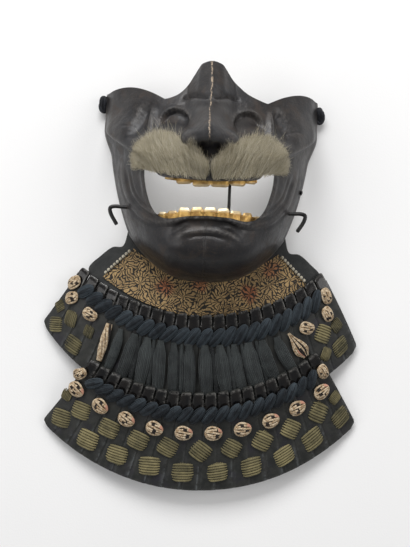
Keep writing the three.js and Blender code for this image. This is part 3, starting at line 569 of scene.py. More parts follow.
def wire_finish():
    made, n = material("blackened_wire", rough=0.38, metal=0.4)
    patches, specks = n.mottle(220.0, 1500.0, 0.3)
    colour = n.mix(patches, (0.010, 0.010, 0.011), (0.024, 0.022, 0.021))
    n.colour(n.over(colour, (0.1, 0.06, 0.035), specks, 0.6))
    n.bump(n.noise(900.0), 0.0001)
    return made


def gilt_finish():
    made, n = material("worn_gilding", rough=0.3, metal=0.85)
    patches, specks = n.mottle(260.0, 1700.0, 0.3)
    colour = n.mix(patches, (0.62, 0.40, 0.13), (0.34, 0.19, 0.06))
    colour = n.mix(n.attribute("tint"), colour, (0.92, 0.80, 0.55))
    n.colour(n.over(colour, (0.20, 0.10, 0.03), specks, 0.7))
    n.rough(n.cloud(0.3, 0.7, 500.0, to=(0.42, 0.62)))
    n.bump(n.noise(700.0, 4.0, 0.6), 0.00018)
    return made


def hair_finish():
    made, n = material("khaki_hair", rough=0.55, sheen=0.3, specular=0.4)
    tint = n.attribute("tint")
    colour = n.mix(n.ramp(tint, 0.0, 0.5), (0.13, 0.108, 0.065), (0.40, 0.35, 0.235))
    n.colour(n.mix(n.ramp(tint, 0.5, 1.0), colour, (0.68, 0.63, 0.49)))
    n.bump(n.noise(3000.0), 0.00003)
    return made


def scale_finish(name, gloss):
    made, n = material(name, rough=0.5, coat=0.4 if gloss else 0.05, coat_rough=0.06 if gloss else 0.4,
                       specular=0.2 if gloss else 0.3)
    patches, specks = n.mottle(120.0, 1400.0, 0.35)
    if gloss:
        colour = n.mix(patches, (0.0035, 0.0035, 0.004), (0.008, 0.0065, 0.006))
        n.rough(n.cloud(0.3, 0.7, 600.0, to=(0.14, 0.34)))
    else:
        colour = n.mix(patches, (0.0125, 0.0135, 0.0125), (0.023, 0.0235, 0.021))
        colour = n.mix(n.cloud(0.5, 0.7, 55.0, 4.0, 0.6), colour, (0.017, 0.016, 0.021))
        n.rough(n.cloud(0.3, 0.7, 300.0, to=(0.46, 0.66)))
    # Pale on the worn attribute: chipped wear, and painted highlight on the free edges, head tops and hem.
    chips_and_edge_highlights = n.times(n.attribute("worn"), n.cloud(0.38, 0.6, 500.0, 3.0, 0.7))
    colour = n.over(colour, (0.15, 0.145, 0.135), chips_and_edge_highlights, 0.85 if gloss else 0.3)
    # Pale lines at the seams near the hem: wear, and painted edge highlight.
    pale = n.times(n.attribute("seam"), n.cloud(0.42, 0.6, 170.0, 3.0, 0.7))
    colour = n.over(colour, (0.13, 0.14, 0.145), pale, 0.55)
    n.colour(n.over(colour, (0.08, 0.07, 0.05), specks, 0.16 if gloss else 0.3))
    fine = n.bump(n.noise(1600.0, 4.0, 0.6), 0.00004 if gloss else 0.00014)
    n.bump(n.noise(230.0, 3.0, 0.5), 0.0002, fine)
    return made


def cloth_finish(name, dark, light, odd, sheen):
    """Silk: the strand's own tint and slow patches set its colour, with odd specks, an even slight darkening and fuzz.
    """
    made, n = material(name, rough=0.8, sheen=sheen, specular=0.25)
    patches, specks = n.mottle(110.0, 1900.0, 0.4)
    share = n.plus(n.times(n.attribute("tint"), 0.7), n.times(patches, 0.3))
    colour = n.over(n.mix(share, dark, light), odd, specks, 0.5)
    # Darkened evenly by a thirtieth towards near black.
    n.colour(n.mix(1 / 30, colour, (0.004, 0.005, 0.006)))
    n.bump(n.noise(2600.0, 3.0, 0.7), 0.00016)
    return made


def mixed_finish():
    """Cream braid with pink and black threads: the strand's tint picks its colour."""
    made, n = material("cream_pink_black_braid", rough=0.85, sheen=0.2, specular=0.2)
    tint = n.attribute("tint")
    cream = n.mix(n.cloud(0.40, 0.60, 520.0, 4.0, 0.7), (0.60, 0.49, 0.345), (0.30, 0.205, 0.115))
    colour = n.mix(n.ramp(tint, 0.30, 0.36), (0.012, 0.010, 0.010), cream)
    colour = n.mix(n.ramp(tint, 0.68, 0.74), colour, (0.50, 0.26, 0.18))
    dirt = n.times(n.cloud(0.5, 0.7, 1500.0, 3.0, 0.7), 0.5)
    n.colour(n.mix(dirt, colour, (0.15, 0.09, 0.05)))
    n.bump(n.noise(3200.0, 3.0, 0.7), 0.0003)
    return made


def leather_grain(n, scale, depth):
    cells = n("ShaderNodeTexVoronoi", Vector=n.place(), Scale=scale, feature="DISTANCE_TO_EDGE").outputs["Distance"]
    return n.bump(n.ramp(cells, 0.0, 0.25), depth)


def backing_finish():
    made, n = material("smoked_leather", rough=0.6, specular=0.35)
    patches, specks = n.mottle(70.0, 1500.0, 0.35)
    colour = n.mix(patches, (0.013, 0.0145, 0.0145), (0.026, 0.027, 0.026))
    n.colour(n.over(colour, (0.07, 0.06, 0.05), specks, 0.4))
    n.bump(n.noise(120.0), 0.0004, leather_grain(n, 1300.0, 0.00008))
    return made


# Middles of the printed sprays, and how red each one is.
SPRAYS = [(-63, 3, 1), (-30, -11, 1), (-3, -7.5, 0.8), (34, -14, 1), (51, 6, 0.7), (-47, 9, 0), (-50, -9, 0),
          (-17, -18, 0), (14, -17, 0), (15, -30, 0), (-10, -31, 0), (-32, -26, 0), (47, -8, 0), (66, -2, 0), (25, -26, 0), (34, 2, 0)]


def print_finish():
    """Stencilled ochre leather: short curling leaf strokes that ray out from many sprays."""
    made, n = material("stencilled_leather", rough=0.6, specular=0.3)
    place = n.place()
    wander = n("ShaderNodeTexNoise", Vector=place, Scale=130.0, Detail=2.0).outputs["Color"]
    centred = n("ShaderNodeVectorMath", operation="SUBTRACT", _0=wander, _1=(0.5, 0.5, 0.5)).outputs[0]
    bent = n("ShaderNodeVectorMath", operation="MULTIPLY_ADD", _0=centred, _1=(0.010, 0.010, 0.0), _2=place).outputs[0]
    where = n("ShaderNodeSeparateXYZ", Vector=bent)
    far = turn = red = None
    for x, y, redness in SPRAYS:
        dx = n.minus(where.outputs["X"], (x + SHIFT[0]) * MM)
        dy = n.minus(where.outputs["Y"], (y + SHIFT[1]) * MM)
        here = n.math("SQRT", n.plus(n.times(dx, dx), n.times(dy, dy)))
        angle = n.plus(n.math("ARCTAN2", dy, dx), 0.37 * x)
        if far is None:
            far, turn, red = here, angle, n.times(here, 0.0)
        near = n.math("LESS_THAN", here, far)
        away = n.minus(1.0, near)
        turn = n.plus(n.times(angle, near), n.times(turn, away))
        red = n.plus(n.times(near, float(redness)), n.times(red, away))
        far = n.math("MINIMUM", far, here)
    run = n.math("DIVIDE", far, 0.0046)
    ring = n.math("FLOOR", run)
    strokes = n.plus(n.times(ring, 13.0), 7.0)
    phase = n.plus(n.times(turn, strokes), n.times(ring, 2.3))
    wave = n.math("SINE", n.plus(phase, n.times(run, 1.4)))
    part = n.minus(run, ring)
    tips = n.times(n.ramp(part, 0.0, 0.14), n.ramp(part, 0.86, 1.0, 1.0, 0.0))
    shape = n.minus(n.plus(wave, 0.55), n.times(n.minus(1.0, tips), 1.5))
    uneven = n.times(n.minus(n.noise(900.0, 3.0, 0.7), 0.5), 0.7)
    pattern = n.ramp(n.plus(shape, uneven), 0.1, 0.5)
    worn = n.cloud(0.34, 0.5, 260.0, 4.0, 0.7)
    ochre = n.mix(n.cloud(0.35, 0.65, 90.0, 4.0, 0.6), (0.39, 0.262, 0.118), (0.27, 0.178, 0.08))
    heart = n.times(red, n.ramp(far, 0.0035, 0.0085, 1.0, 0.0))
    ochre = n.mix(n.times(heart, 0.8), ochre, (0.30, 0.085, 0.035))
    share = n.times(pattern, n.plus(n.times(worn, 0.3), 0.7))
    n.colour(n.mix(share, (0.017, 0.014, 0.010), ochre))
    n.bump(pattern, 0.00008, leather_grain(n, 1600.0, 0.00006))
    return made


IRON, WIRE, GILT, HAIR = iron_finish(), wire_finish(), gilt_finish(), hair_finish()
HEADS, LACQUER = scale_finish("glossy_black_heads", True), scale_finish("worn_black_scales", False)
MIXED_SILK = mixed_finish()
ROPE_SILK, CORD_SILK, OLIVE_SILK, BLACK_CORD, STITCH = (cloth_finish(*row) for row in (
    ("faded_indigo_rope", (0.005, 0.007, 0.010), (0.046, 0.060, 0.072), (0.10, 0.10, 0.09), 0.12),
    ("faded_indigo_braid", (0.006, 0.007, 0.008), (0.052, 0.060, 0.060), (0.11, 0.11, 0.095), 0.12),
    ("olive_braid", (0.020, 0.020, 0.012), (0.225, 0.192, 0.095), (0.30, 0.26, 0.15), 0.12),
    ("black_cord", (0.006, 0.006, 0.008), (0.022, 0.024, 0.030), (0.05, 0.05, 0.05), 0.15),
    ("pale_stitch", (0.30, 0.26, 0.18), (0.52, 0.48, 0.38), (0.2, 0.16, 0.1), 0.5)))
SMOKED, PRINT = backing_finish(), print_finish()


# ------------------------------------------------------------------ mask

def make_mask():
    """Face plate: a shell with its relief, cut by the mouth and flat where it rests."""
    column_count, row_count, cheeks_closer, chin_closer = 191, 171, 0.22, 0.06
    columns, rows = np.linspace(-1, 1, column_count), np.linspace(0, 1, row_count)
    columns = (1 + cheeks_closer) * columns - cheeks_closer * columns ** 3
    rows = (1 + chin_closer) * rows - chin_closer * rows ** 4
    u, v = np.meshgrid(columns, rows)
    base, normal = face_point(u, v), face_normal(u, v)
    x, y = base[..., 0], base[..., 1]
    fade = smoothstep(1 - np.abs(u), 0, 0.1) * smoothstep(1 - v, 0, 0.06)
    carved = relief(x, y) * fade
    to_edge = np.minimum((1 - np.abs(u)) * 70, 60 * (1 - v))
    rim = 0.9 * hill(to_edge - 1.2, 1.0)
    front = base + normal * (carved + fine_relief(x, y) * fade + rim)[..., None]
    back = base + normal * (carved - MASK["wall"])[..., None]
    mesh = shell_mesh("mask", front, back, 35)
    bend = sum(np.gradient(np.gradient(carved, axis=k), axis=k) for k in (1, 0))
    # The worn attribute pales convex ridges, the plate's edges and the lip: rubbed wear, and painted highlight along
    # the ridges and edges.
    worn = np.clip(np.clip(-bend * 6, 0, 1) * 0.45 + hill(to_edge - 0.6, 1.0) * 0.7
                   + hill(mouth_distance(x, y) - 1.2, 1.0) * 0.35, 0, 1)
    set_front(mesh, "worn", worn)
    mask = new_piece("iron_mask", mesh, IRON)
    floor = [(-200, -200), (200, -200), (200, 300), (-200, 300)]
    cutters = [prism("mouth", mouth_outline(), 20, 140), prism("rest", floor, -30, MASK["rest_z"])]
    for cutter in cutters:
        modifier = mask.modifiers.new("cut", "BOOLEAN")
        modifier.operation, modifier.solver, modifier.object = "DIFFERENCE", "EXACT", cutter
    cut = evaluated_mesh(mask)
    mask.modifiers.clear()
    mask.data = cut
    for cutter in cutters:
        bpy.data.objects.remove(cutter)
    cut.shade_smooth()
    cut.set_sharp_from_angle(angle=math.radians(38))
    return mask


def prism(name, outline, low, high):
    """Upright body on an outline, to cut with."""
    count = len(outline)
    points = [(x, y, z) for z in (low, high) for x, y in outline]
    sides = [(i, (i + 1) % count, count + (i + 1) % count, count + i) for i in range(count)]
    mesh = new_mesh(name, points, sides + [tuple(range(count))[::-1], tuple(range(count, 2 * count))], 0)
    return new_piece(name, mesh)


def mouth_outline():
    right = np.array(MOUTH, float)
    whole = np.concatenate([right, right[-2:0:-1] * [-1, 1]])
    loop = np.concatenate([whole, whole[:1]])
    flat = np.concatenate([loop, np.zeros((len(loop), 1))], 1)
    return curve_through(flat, 110)[:-1, :2]


def behind_lip(x, y):
    """Height of what stands just behind the plate."""
    return face_height(x, y) + np.minimum(0, relief(x, y)) - MASK["wall"] - 3.1


TEETH = dict(
    upper=dict(widths=[8, 12, 12.6, 13.4, 12, 8], middle_x=1.5, lip_y=68, lip_curve=-3, gum=5, ends=1.0, middle=4.2,
               band=1.6, side=-1, seed=3),
    lower=dict(widths=[6.6, 8.2, 9, 9.2, 9.4, 9.2, 9, 8.2, 6.6], middle_x=1.8, lip_y=38, lip_curve=2, gum=4, ends=3.8,
               middle=7.0, band=3.4, side=1, seed=4))


def make_teeth(name, widths, middle_x, lip_y, lip_curve, gum, ends, middle, band, side, seed):
    """Gilt teeth behind a lip: one flat-topped, slightly uneven tooth for each width, on a band of gum."""
    rng = np.random.default_rng(seed)
    reach = sum(widths) / 2

    def lip(x):
        return lip_y + lip_curve * (1 - ((x - middle_x) / reach) ** 2)

    def deep(x):
        return np.minimum(behind_lip(x, lip(x)), behind_lip(x, lip(x) - 2 * side))

    pieces, edge, tooth_thick, band_thick = [], middle_x - reach, 1.6, 2.0
    for width in widths:
        x = edge + width / 2
        edge += width
        tall = middle + (ends - middle) * ((x - middle_x) / reach) ** 2 + rng.uniform(-0.45, 0.45)
        turn = math.atan2(float(deep(np.array(x - 2.0)) - deep(np.array(x + 2.0))), 4)
        across, up = np.meshgrid(np.linspace(-1, 1, 15), np.linspace(0, 1, 15))
        corner = 1 - 0.16 * smoothstep(up, 0.8, 1) * np.abs(across) ** 3
        px = across * (width / 2 + 0.02) * corner * (0.97 + 0.03 * np.sin(up * math.pi))
        py = -1.5 + (tall + 1.5) * up * (1 - 0.07 * np.abs(across) ** 5 + 0.04 * across * rng.uniform(-1, 1))
        bulge = (1 - np.abs(across) ** 5) * (1 - 0.8 * smoothstep(up, 0.8, 1.0))
        pz = 1.1 * bulge - 0.4 * up
        c, sn = math.cos(turn), math.sin(turn)
        front = np.stack([px * c + pz * sn, side * py, pz * c - px * sn], -1)
        back = front - [0, 0, tooth_thick]
        place = np.array([x, lip(x), float(deep(np.array(x)))])
        if side > 0:
            front, back = front[::-1], back[::-1]
        mesh = shell_mesh(name, front + place, back + place, 60)
        pale = smoothstep(up, 0.55, 0.95) * rng.uniform(0.1, 1.0)
        pale = pale[::-1] if side > 0 else pale
        set_front(mesh, "tint", pale)
        pieces.append(new_piece(name, mesh, GILT))
    x = middle_x + np.linspace(-1, 1, 61)[None, :] * reach
    sink = np.linspace(0, 1, 9)[:, None]
    y = lip(x) + side * (band - (band + gum) * sink)
    rows = np.stack([x + 0 * y, y, np.minimum(deep(x), behind_lip(x + 0 * y, y)) + 0.9 - 1.6 * sink], -1)
    if side < 0:
        rows = rows[::-1]
    mesh = shell_mesh(name, rows, rows - [0, 0, band_thick], 60)
    set_attribute(mesh, "tint", np.zeros(len(mesh.vertices)))
    pieces.append(new_piece(name, mesh, GILT))
    return join(name, *pieces)


# Where the hairs of one half start and end: share of the way out, x, y.
HAIR_ROOTS = [(0, 2, 66), (0.25, 20, 67), (0.5, 36, 70.3), (0.75, 45, 73.5), (1, 50, 76.5)]
HAIR_TIPS = [(0, 1.5, 79.5), (0.1, 6, 84), (0.25, 15, 91.5), (0.4, 25, 98.3), (0.52, 33, 101), (0.62, 41, 101),
             (0.72, 48, 97.5), (0.82, 54, 92), (0.92, 57.5, 85), (1, 57, 77.5)]


def along_pairs(rows, at):
    """Smooth point of the plan from a table of (place, x, y) rows."""
    return np.stack([along([(row[0], row[k]) for row in rows], at) for k in (1, 2)], -1)


def make_moustache(name, side):
    """One half of the moustache: a thick brush of hairs that fan up and out from the lip."""
    rng = np.random.default_rng(20 + side)
    count, thickness = ((5600, 0.13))
    t = rng.uniform(0, 1, count)
    base = 0.94 * t ** 1.45
    lean = np.clip(t ** 0.72 + rng.normal(0, 0.06, count), -0.02, 1.06)
    begin = rng.uniform(0, 1, count) ** 1.2 * 0.8
    finish = np.minimum(begin + rng.uniform(0.35, 0.75, count), rng.uniform(0.86, 1.06, count))
    finish = np.where(rng.uniform(0, 1, count) < 0.03, finish + rng.uniform(0.1, 0.35, count), finish)
    root, tip = along_pairs(HAIR_ROOTS, base), along_pairs(HAIR_TIPS, lean)
    s = np.linspace(0, 1, 7)
    at = begin[:, None] + (finish - begin)[:, None] * s
    plan = root[:, None] + (tip - root)[:, None] * at[..., None]
    curl = rng.normal(0, 1.1, count)[:, None] * np.sin(s * math.pi) + rng.normal(0, 1.6, count)[:, None] * s * s
    way = unit(tip - root)
    plan[..., 1] += rng.normal(0, 0.8, count)[:, None]
    plan = plan + np.stack([-way[:, 1], way[:, 0]], -1)[:, None] * curl[..., None]
    plan[..., 0] = np.maximum(plan[..., 0], -3)
    depth = rng.uniform(0, 1, count)
    thick = 1.0 + 5.2 * np.sin(np.clip(at, 0, 1) * math.pi) ** 0.6
    x, y = side * plan[..., 0] + (0.6 if side > 0 else -0.2), plan[..., 1]
    ground = face_height(x, y) + np.maximum(relief(x, y), 0)
    z = ground + 0.7 + thick * (0.25 + 0.75 * depth)[:, None] * (0.35 + 0.65 * s) + 1.2 * s * s
    # Each hair's tint is random, and is painted lighter for hairs lying higher in the brush and darker for low ones, as
    # painted shade under the top hairs.
    shade = np.clip(rng.normal(0.46, 0.2, count) + 0.3 * (depth - 0.5), 0, 1)
    lines = [(np.stack([x[i], y[i], z[i]], -1), np.linspace(1, 0.3, 7), shade[i]) for i in range(count)]
    return strands(name, lines, thickness, 3, HAIR)


def make_hook(name, side):
    """Bent wire hook: out from the cheek, then down and a little in."""
    x, y, reach, drop, turn, radius = 61.5, 47.4, 12.5, 13.5, 2.8, 1.5
    z = float(face_height(np.array(x), np.array(y)))
    corner = x + reach
    points = [(x - 4, y), (x + 2, y), (corner - turn, y), (corner - turn * 0.3, y - turn * 0.35),
              (corner - turn * 0.3, y - turn * 1.3), (corner - drop * 0.46, y - drop)]
    path = curve_through([(side * px, py, z) for px, py in points], 34)
    size = np.full(len(path), radius)
    size[[0, -1]] *= 0.75
    return new_piece(name, rod("hook", path, size), WIRE)


def make_pin():
    path = [(PIN["x"], y, PIN["z"]) for y in np.linspace(PIN["bottom"], PIN["top"], 12)]
    return new_piece("mouth_pin_rod", rod("pin", path, PIN["radius"]), WIRE)


def make_ear_cord(name, side):
    """Twisted black cord knotted at the edge of an ear lobe."""
    rng = np.random.default_rng(11 + side)
    centre = np.array([84.6 * side, 129.0 if side < 0 else 127.0, 5.4])
    lines = []
    for turn in range(5):
        tilt = turn * 0.62
        phase = np.linspace(0, 2 * math.pi, 18)
        ring = np.stack([3.2 * np.cos(phase) * math.cos(tilt), 4.6 * np.sin(phase) + 0.6 * (turn - 2),
                         3.0 * np.cos(phase) * math.sin(tilt) + 1.2 * np.sin(phase * 2)], -1)
        lines.append((centre + ring, 1.0, rng.uniform(0.2, 0.8)))
    return strands(name, lines, 1.25, 7, BLACK_CORD)


# ------------------------------------------------------------------ leather

def leather_sheet(name, sections, thick, lift, material):
    """Sheet that lies over the arch. Each section is (half width, y at the ends, y in the middle)."""
    rows, columns = 60, 150
    first_curve, last_curve = 2.6, 2.0
    at = np.linspace(0, 1, rows)[:, None]
    share = np.linspace(-1, 1, columns)[None, :]
    places = np.linspace(0, 1, len(sections))
    half, end_y, middle_y = (along(list(zip(places, [s[k] for s in sections])), at) for k in range(3))
    curve = first_curve + (last_curve - first_curve) * at
    x = half * share
    y = middle_y + (end_y - middle_y) * np.abs(share) ** curve
    z = arch_height(x, y) + lift
    rounding = 0.35 * hill(np.minimum((1 - np.abs(share)) * half, 3), 0.8)
    front, back = np.stack([x, y, z + thick - rounding], -1), np.stack([x, y, z], -1)
    return new_piece(name, shell_mesh(name, front, back), material)


BACKING = [(61, 31, 1.5), (64.5, 19, -7), (73, 17.5, -13), (82, 10.5, -21), (91, 1, -31), (88, -10, -41)]
PRINTED = [(56, 17, -0.5), (79.5, -6, -33)]


def make_edge_braid(name, side):
    """Pale stitches that lap over the edge of the printed leather, one bead each."""
    start, end = np.array([58.5 * side, 15.5]), np.array([78.5 * side, -3.6])
    forward = unit(end - start)
    square = np.array([-forward[1], forward[0]]) * side
    lines = []
    for i in range(9):
        s = np.linspace(-1, 1, 7)
        way = forward * 0.80 - square * 0.6
        plan = start + (end - start) * (i + 0.35) / 9 + np.outer(s * 1.35, way)
        z = arch_height(plan[:, 0], plan[:, 1]) + 4.3
        lines.append((np.column_stack([plan, z]), np.sqrt(1.06 - s * s), 0.35 + 0.6 * ((i * 7) % 5) / 4))
    return strands(name, lines, 1.15, 8, STITCH)


# ------------------------------------------------------------------ lames

def make_lame(name, lame, seed):
    """One lame of lapped scales: tall glossy heads, and a free edge that steps over the next scale."""
    rng = np.random.default_rng(seed)
    scales, depth = lame["scales"], lame["top"][1] - lame["bottom"][1]
    # Across one scale: share of its width, rise, how far its head is cut down, wear and painted edge highlight.
    profile = [(0.0, 0.0, HEAD, 0.2), (0.05, 0.3, HEAD, 0), (0.09, 0.5, 2.2, 0.3), (0.14, 0.62, 1.0, 0.1),
               (0.25, 0.68, 0.6, 0), (0.45, 0.74, 0.4, 0), (0.65, 0.8, 0.2, 0), (0.80, 0.9, 0.0, 0.3),
               (0.87, 1.0, 0.2, 1.0), (0.905, 0.92, 1.2, 1.0), (0.935, 0.5, HEAD, 0.3)]
    columns, rises, cuts, edges = [], [], [], []
    for i in range(scales):
        lean = rng.uniform(-0.25, 0.25)
        for at, rise, cut, edge in profile:
            columns.append(i + at)
            rises.append(rise * (SHINGLE + 0.25) + lean * (at - 0.5))
            cuts.append(cut)
            edges.append(edge * rng.uniform(0.5, 1))
    for values, last in ((columns, scales), (rises, 0.1), (cuts, HEAD), (edges, 0.5)):
        values.append(last)
    cuts = np.array(cuts)
    head_row = HEAD * 1.02 / depth
    row = np.concatenate([(cuts + (HEAD - cuts) * r)[None] / depth for r in (0.0, 0.25, 0.6, 0.9)]
                         + [np.full((1, len(cuts)), head_row + (1 - head_row) * r) for r in np.linspace(0, 1, 35)])
    limit = 1 - 0.035 * (1 - np.sqrt(1 - np.clip((row - 0.945) / 0.055, 0, 1) ** 2))
    share = (2 * np.array(columns) / scales - 1)[None, :]
    outer = np.maximum(0, np.abs(share) - 0.9)
    share = np.sign(share) * (np.minimum(np.abs(share), 0.9) + outer * (limit - 0.9) / 0.1)
    heads = smoothstep(lame["rope_row"] - row, 0, 0.05)
    _, _, normal = lame_frame(lame, share, row)
    first = (np.arange(len(row)) == 0)[:, None]
    height = (PLATE + np.array(rises) * (0.55 + 0.45 * heads) - 0.35 * smoothstep(row, 0.965, 1.0) - 0.5 * first
              + 0.25 * np.sin(share * 9 + row * 4))
    back = lame_point(lame, share, row)
    mesh = shell_mesh(name, back + normal * height[..., None], back, 28)
    # The worn attribute is pale wear on the free edges, the top row of the heads and the hem, and also painted
    # highlight along these edges.
    worn = np.maximum(np.array(edges) * (0.25 + 0.75 * heads), hill(row - 1, 0.012) * 0.6)
    worn = np.maximum(worn, first * 0.9)
    # The seam attribute pales the free edges near the hem: wear, and painted highlight along the seams.
    seam = np.array(edges) * smoothstep(row, 0.5, 0.9)
    set_front(mesh, "worn", worn)
    set_front(mesh, "seam", seam)
    piece = new_piece(name, mesh, LACQUER, HEADS)
    quads = (len(row) - 1) * (row.shape[1] - 1)
    glossy = np.repeat(row[1:, 0] < lame["rope_row"] + 0.02, row.shape[1] - 1)
    material_of = np.zeros(len(mesh.polygons), np.int32)
    material_of[:quads][glossy] = 1
    material_of[quads:2 * quads][glossy] = 1
    mesh.polygons.foreach_set("material_index", material_of)
    return piece


def turned(angle):
    """Unit vectors of the plan along an angle and square to it."""
    return np.array([math.cos(angle), math.sin(angle)]), np.array([-math.sin(angle), math.cos(angle)])


def laid(place, lie, flat, bow):
    """Points round a place on a lame: flat has x across and y up the lame, bow is the height over it."""
    across, down, normal = lie
    return place + across * flat[:, :1] - down * flat[:, 1:] + normal * bow[:, None]


def cross_stitch(lame, share, row, angle, size, faded, rng):
    """Two crossing flat braids, one over the other, so that the patch has four lobed corners."""
    lie = lame_frame(lame, share, row)
    foot = lame_point(lame, share, row, PLATE + SHINGLE * 0.7 + 0.3)
    shade = rng.uniform(0.5, 0.95) * (1 - 0.75 * faded)
    lines = []
    for level in (0, 1):  # the under braid and the top one
        turn = math.radians(angle + (0 if level else 84 + rng.uniform(-8, 8))) - math.atan2(lie[0][1], lie[0][0])
        way, side = turned(turn)
        shift = rng.uniform(-0.7, 0.7, 2)
        for k in range(7):
            q = (k - 3) / 3.0
            s = np.linspace(-1, 1, 9)
            reach = size * (1 - 0.1 * q ** 4) * (0.95 if level else 0.80) * rng.uniform(0.94, 1.04)
            spread = q * size * (0.74 if level else 0.56) * (1 - 0.10 * s ** 4)
            flat = np.outer(s * reach, way) + np.outer(spread, side) + shift
            bow = ((0.5 + 0.8 * level) * (1 - s ** 4) - 0.5 * s ** 6) * (1 - 0.35 * q * q) * (1 - 0.6 * faded)
            points = laid(foot, lie, flat, bow)
            # The under braid is painted 0.12 darker, as painted shade beneath the top braid.
            tint = np.clip(shade + rng.uniform(-0.22, 0.2) - 0.12 * (1 - level), 0, 1)
            lines.append((points, (0.55 + 0.45 * (1 - np.abs(s) ** 4)) * size / 8, tint))
    return lines


# Stitches on the free parts of the lames: share across, row, lie of the top braid, size, how faded.
WING_STITCHES = [(-0.930, 0.865, -12, 6.6, 0.35), (-0.872, 0.630, 70, 6.0, 0.6), (-0.732, 0.608, 60, 4.8, 0.8),
                 (-0.774, 0.868, -30, 7.6, 0.85), (-0.975, 0.643, 20, 4.4, 0.9), (0.823, 0.575, -8, 7.2, 0.1),
                 (0.933, 0.616, -30, 5.6, 0.75), (0.904, 0.824, 40, 7.0, 0.85), (0.80, 0.79, 80, 5.2, 0.6)]


def row_stitches():
    """The two staggered rows of stitches round the hem of the lower lame."""
    inner = [(-0.981, 0.559, 60, 5.0, 0.75), (0.958, 0.586, 60, 5.2, 0.6)]
    for i in range(9):
        share = -0.841 + 0.207 * i
        inner.append((share, 0.59, -30 + 18 * abs(share), 8.0, 0.25 if i < 5 else 0.05))
    outer = [(-0.925 + 0.206 * i, 0.815, -18 + 70 * (i / 9) ** 1.5, 8.4, 0.0) for i in range(9)]
    return inner + outer + [(0.93, 0.812, 50, 7.6, 0.6)]


def make_stitches(name, lame, table, seed):
    rng = np.random.default_rng(seed)
    lines = []
    for share, row, angle, size, faded in table:
        lines += cross_stitch(lame, share, row, angle + rng.uniform(-6, 6), size + rng.uniform(-0.3, 0.3), faded, rng)
    return strands(name, lines, 0.90, 6, OLIVE_SILK)


def make_rope(name, lame, seed):
    """Slanted turns of braid, one on each scale: full in the middle, each laid over the foot of the last."""
    rng = np.random.default_rng(seed)
    lines = []
    s = np.linspace(-1, 1, 13)
    belly = np.sqrt(np.maximum(0, 1 - np.abs(s) ** 2.4 * 0.93))
    for i in range(lame["scales"]):
        share = ((2 * (i + 0.6)) / lame["scales"] - 1) * 0.91 - 0.018
        lie = lame_frame(lame, share, lame["rope_row"])
        centre = lame_point(lame, share, lame["rope_row"], PLATE + SHINGLE + 0.9)
        way, side = turned(math.radians(44 + rng.uniform(-4, 4)))
        shade = rng.uniform(0.1, 0.9)
        for k in range(9):  # eight strands, and a dark core in the gaps between them as painted shade
            q, fill = ((k - 3.5) / 4, 1.0) if k < 8 else (0, 0.55)
            flat = np.outer(s * 8.6, way) + np.outer(belly * q * 4.3 + 0.9 * np.sin(s * math.pi / 2), side)
            bow = 3.2 * belly * math.sqrt(1 - (0.94 * q) ** 2) * fill - 0.6 + 1.5 * s
            points = laid(centre, lie, flat, bow)
            if k < 8:
                lines.append((points, 0.5 + 0.5 * belly, np.clip(shade + rng.uniform(-0.35, 0.35), 0, 1)))
            # The core strand takes the darkest tint: painted shade between the strands.
            else:
                lines.append((points, 4.0 * belly, 0.0))
    return strands(name, lines, 0.58, 6, ROPE_SILK)


# Suspension cords: scales from the middle at the top and at the foot, width, sideways bow.
CORDS = [(-6.25, -9.4, 6.2, 0), (-5.4, -8.4, 7.6, 1), (-4.4, -7.15, 10.2, 0.8), (-3.5, -5.5, 10, 0.4),
         (-2.6, -3.9, 9.6, 0), (-1.7, -2.65, 8.2, 0), (-0.7, -1.3, 10, 0), (0.35, 0.2, 10.4, -0.5),
         (1.35, 1.8, 10.4, -0.5), (2.3, 3.15, 8.6, -0.8), (3.25, 4.55, 11.5, -1.2), (4.2, 6, 10, -1.4),
         (5.2, 7.6, 9.4, -1.2), (6.05, 9.1, 6.2, 0)]
# Narrow cords that lie low beside them.
PARTNERS = [(-4.0, -6.3, 5), (-3.05, -4.7, 5), (-1.2, -1.95, 5), (0.8, 1.0, 5), (1.9, 2.5, 5.4), (2.8, 3.9, 5),
            (3.8, 5.3, 4.6)]


def cord_path(start, end, bulge, bow=0.0, drop=0.0, tuck=2.4):
    """Path of a cord from the upper lame to behind the heads of the lower one, over the upper lame's surface."""
    count = 24
    upper, lower = LAMES["upper"], LAMES["lower"]
    first = lame_point(upper, start / SCALES_EACH, 0.30 + 0.0018 * start ** 2)
    _, down, _ = lame_frame(lower, end / SCALES_EACH, 0.0)
    last = lame_point(lower, end / SCALES_EACH, 0.0) + down * tuck
    t = np.linspace(0, 1, count)
    path = first + (last - first) * t[:, None]
    way = unit((last - first)[:2])
    path[:, :2] += np.outer(np.sin(math.pi * t) * bow, [-way[1], way[0]])
    for k in range(count):
        share, row = lame_place(upper, path[k, 0], path[k, 1])
        path[k, 2] = lame_point(upper, share, row, PLATE + SHINGLE + 1.9)[2]
    path[:, 2] += bulge * np.sin(math.pi * t) - drop
    return path


def beside(path):
    """Unit vectors level with the floor and square to a path."""
    return unit(np.cross(unit(np.gradient(path, axis=0)), [0, 0, 1.0]))


def flat_band(path, width, thick, body, count, shade, rng):
    """Strands side by side that make up a flat braid, its edges lower than its middle."""
    side, lines = beside(path), []
    for k in range(count):
        q = (k - (count - 1) / 2) / (count / 2)
        points = path + side * (q * width / 2 * body)[:, None]
        points[:, 2] += thick * (math.sqrt(1 - (0.95 * q) ** 2) - 0.8) * body
        lines.append((points, body * width / count, np.clip(shade + rng.uniform(-0.2, 0.2), 0, 1)))
    return lines


def make_cord(name, start, end, width, bow, rng, drop=0.0):
    """Slack braid that starts from under the rope, fills out, and goes down behind the next heads."""
    path = cord_path(start, end, 2.0 + rng.uniform(-0.4, 0.6), bow, drop)
    t = np.linspace(0, 1, len(path))
    body = 0.5 + 0.5 * smoothstep(t, 0.0, 0.34) - 0.16 * smoothstep(t, 0.65, 1)
    lines = flat_band(path, width * 0.98, 2.8, body, 8, rng.uniform(0.2, 0.8), rng)
    return strands(name, lines, 0.53, 6, CORD_SILK)


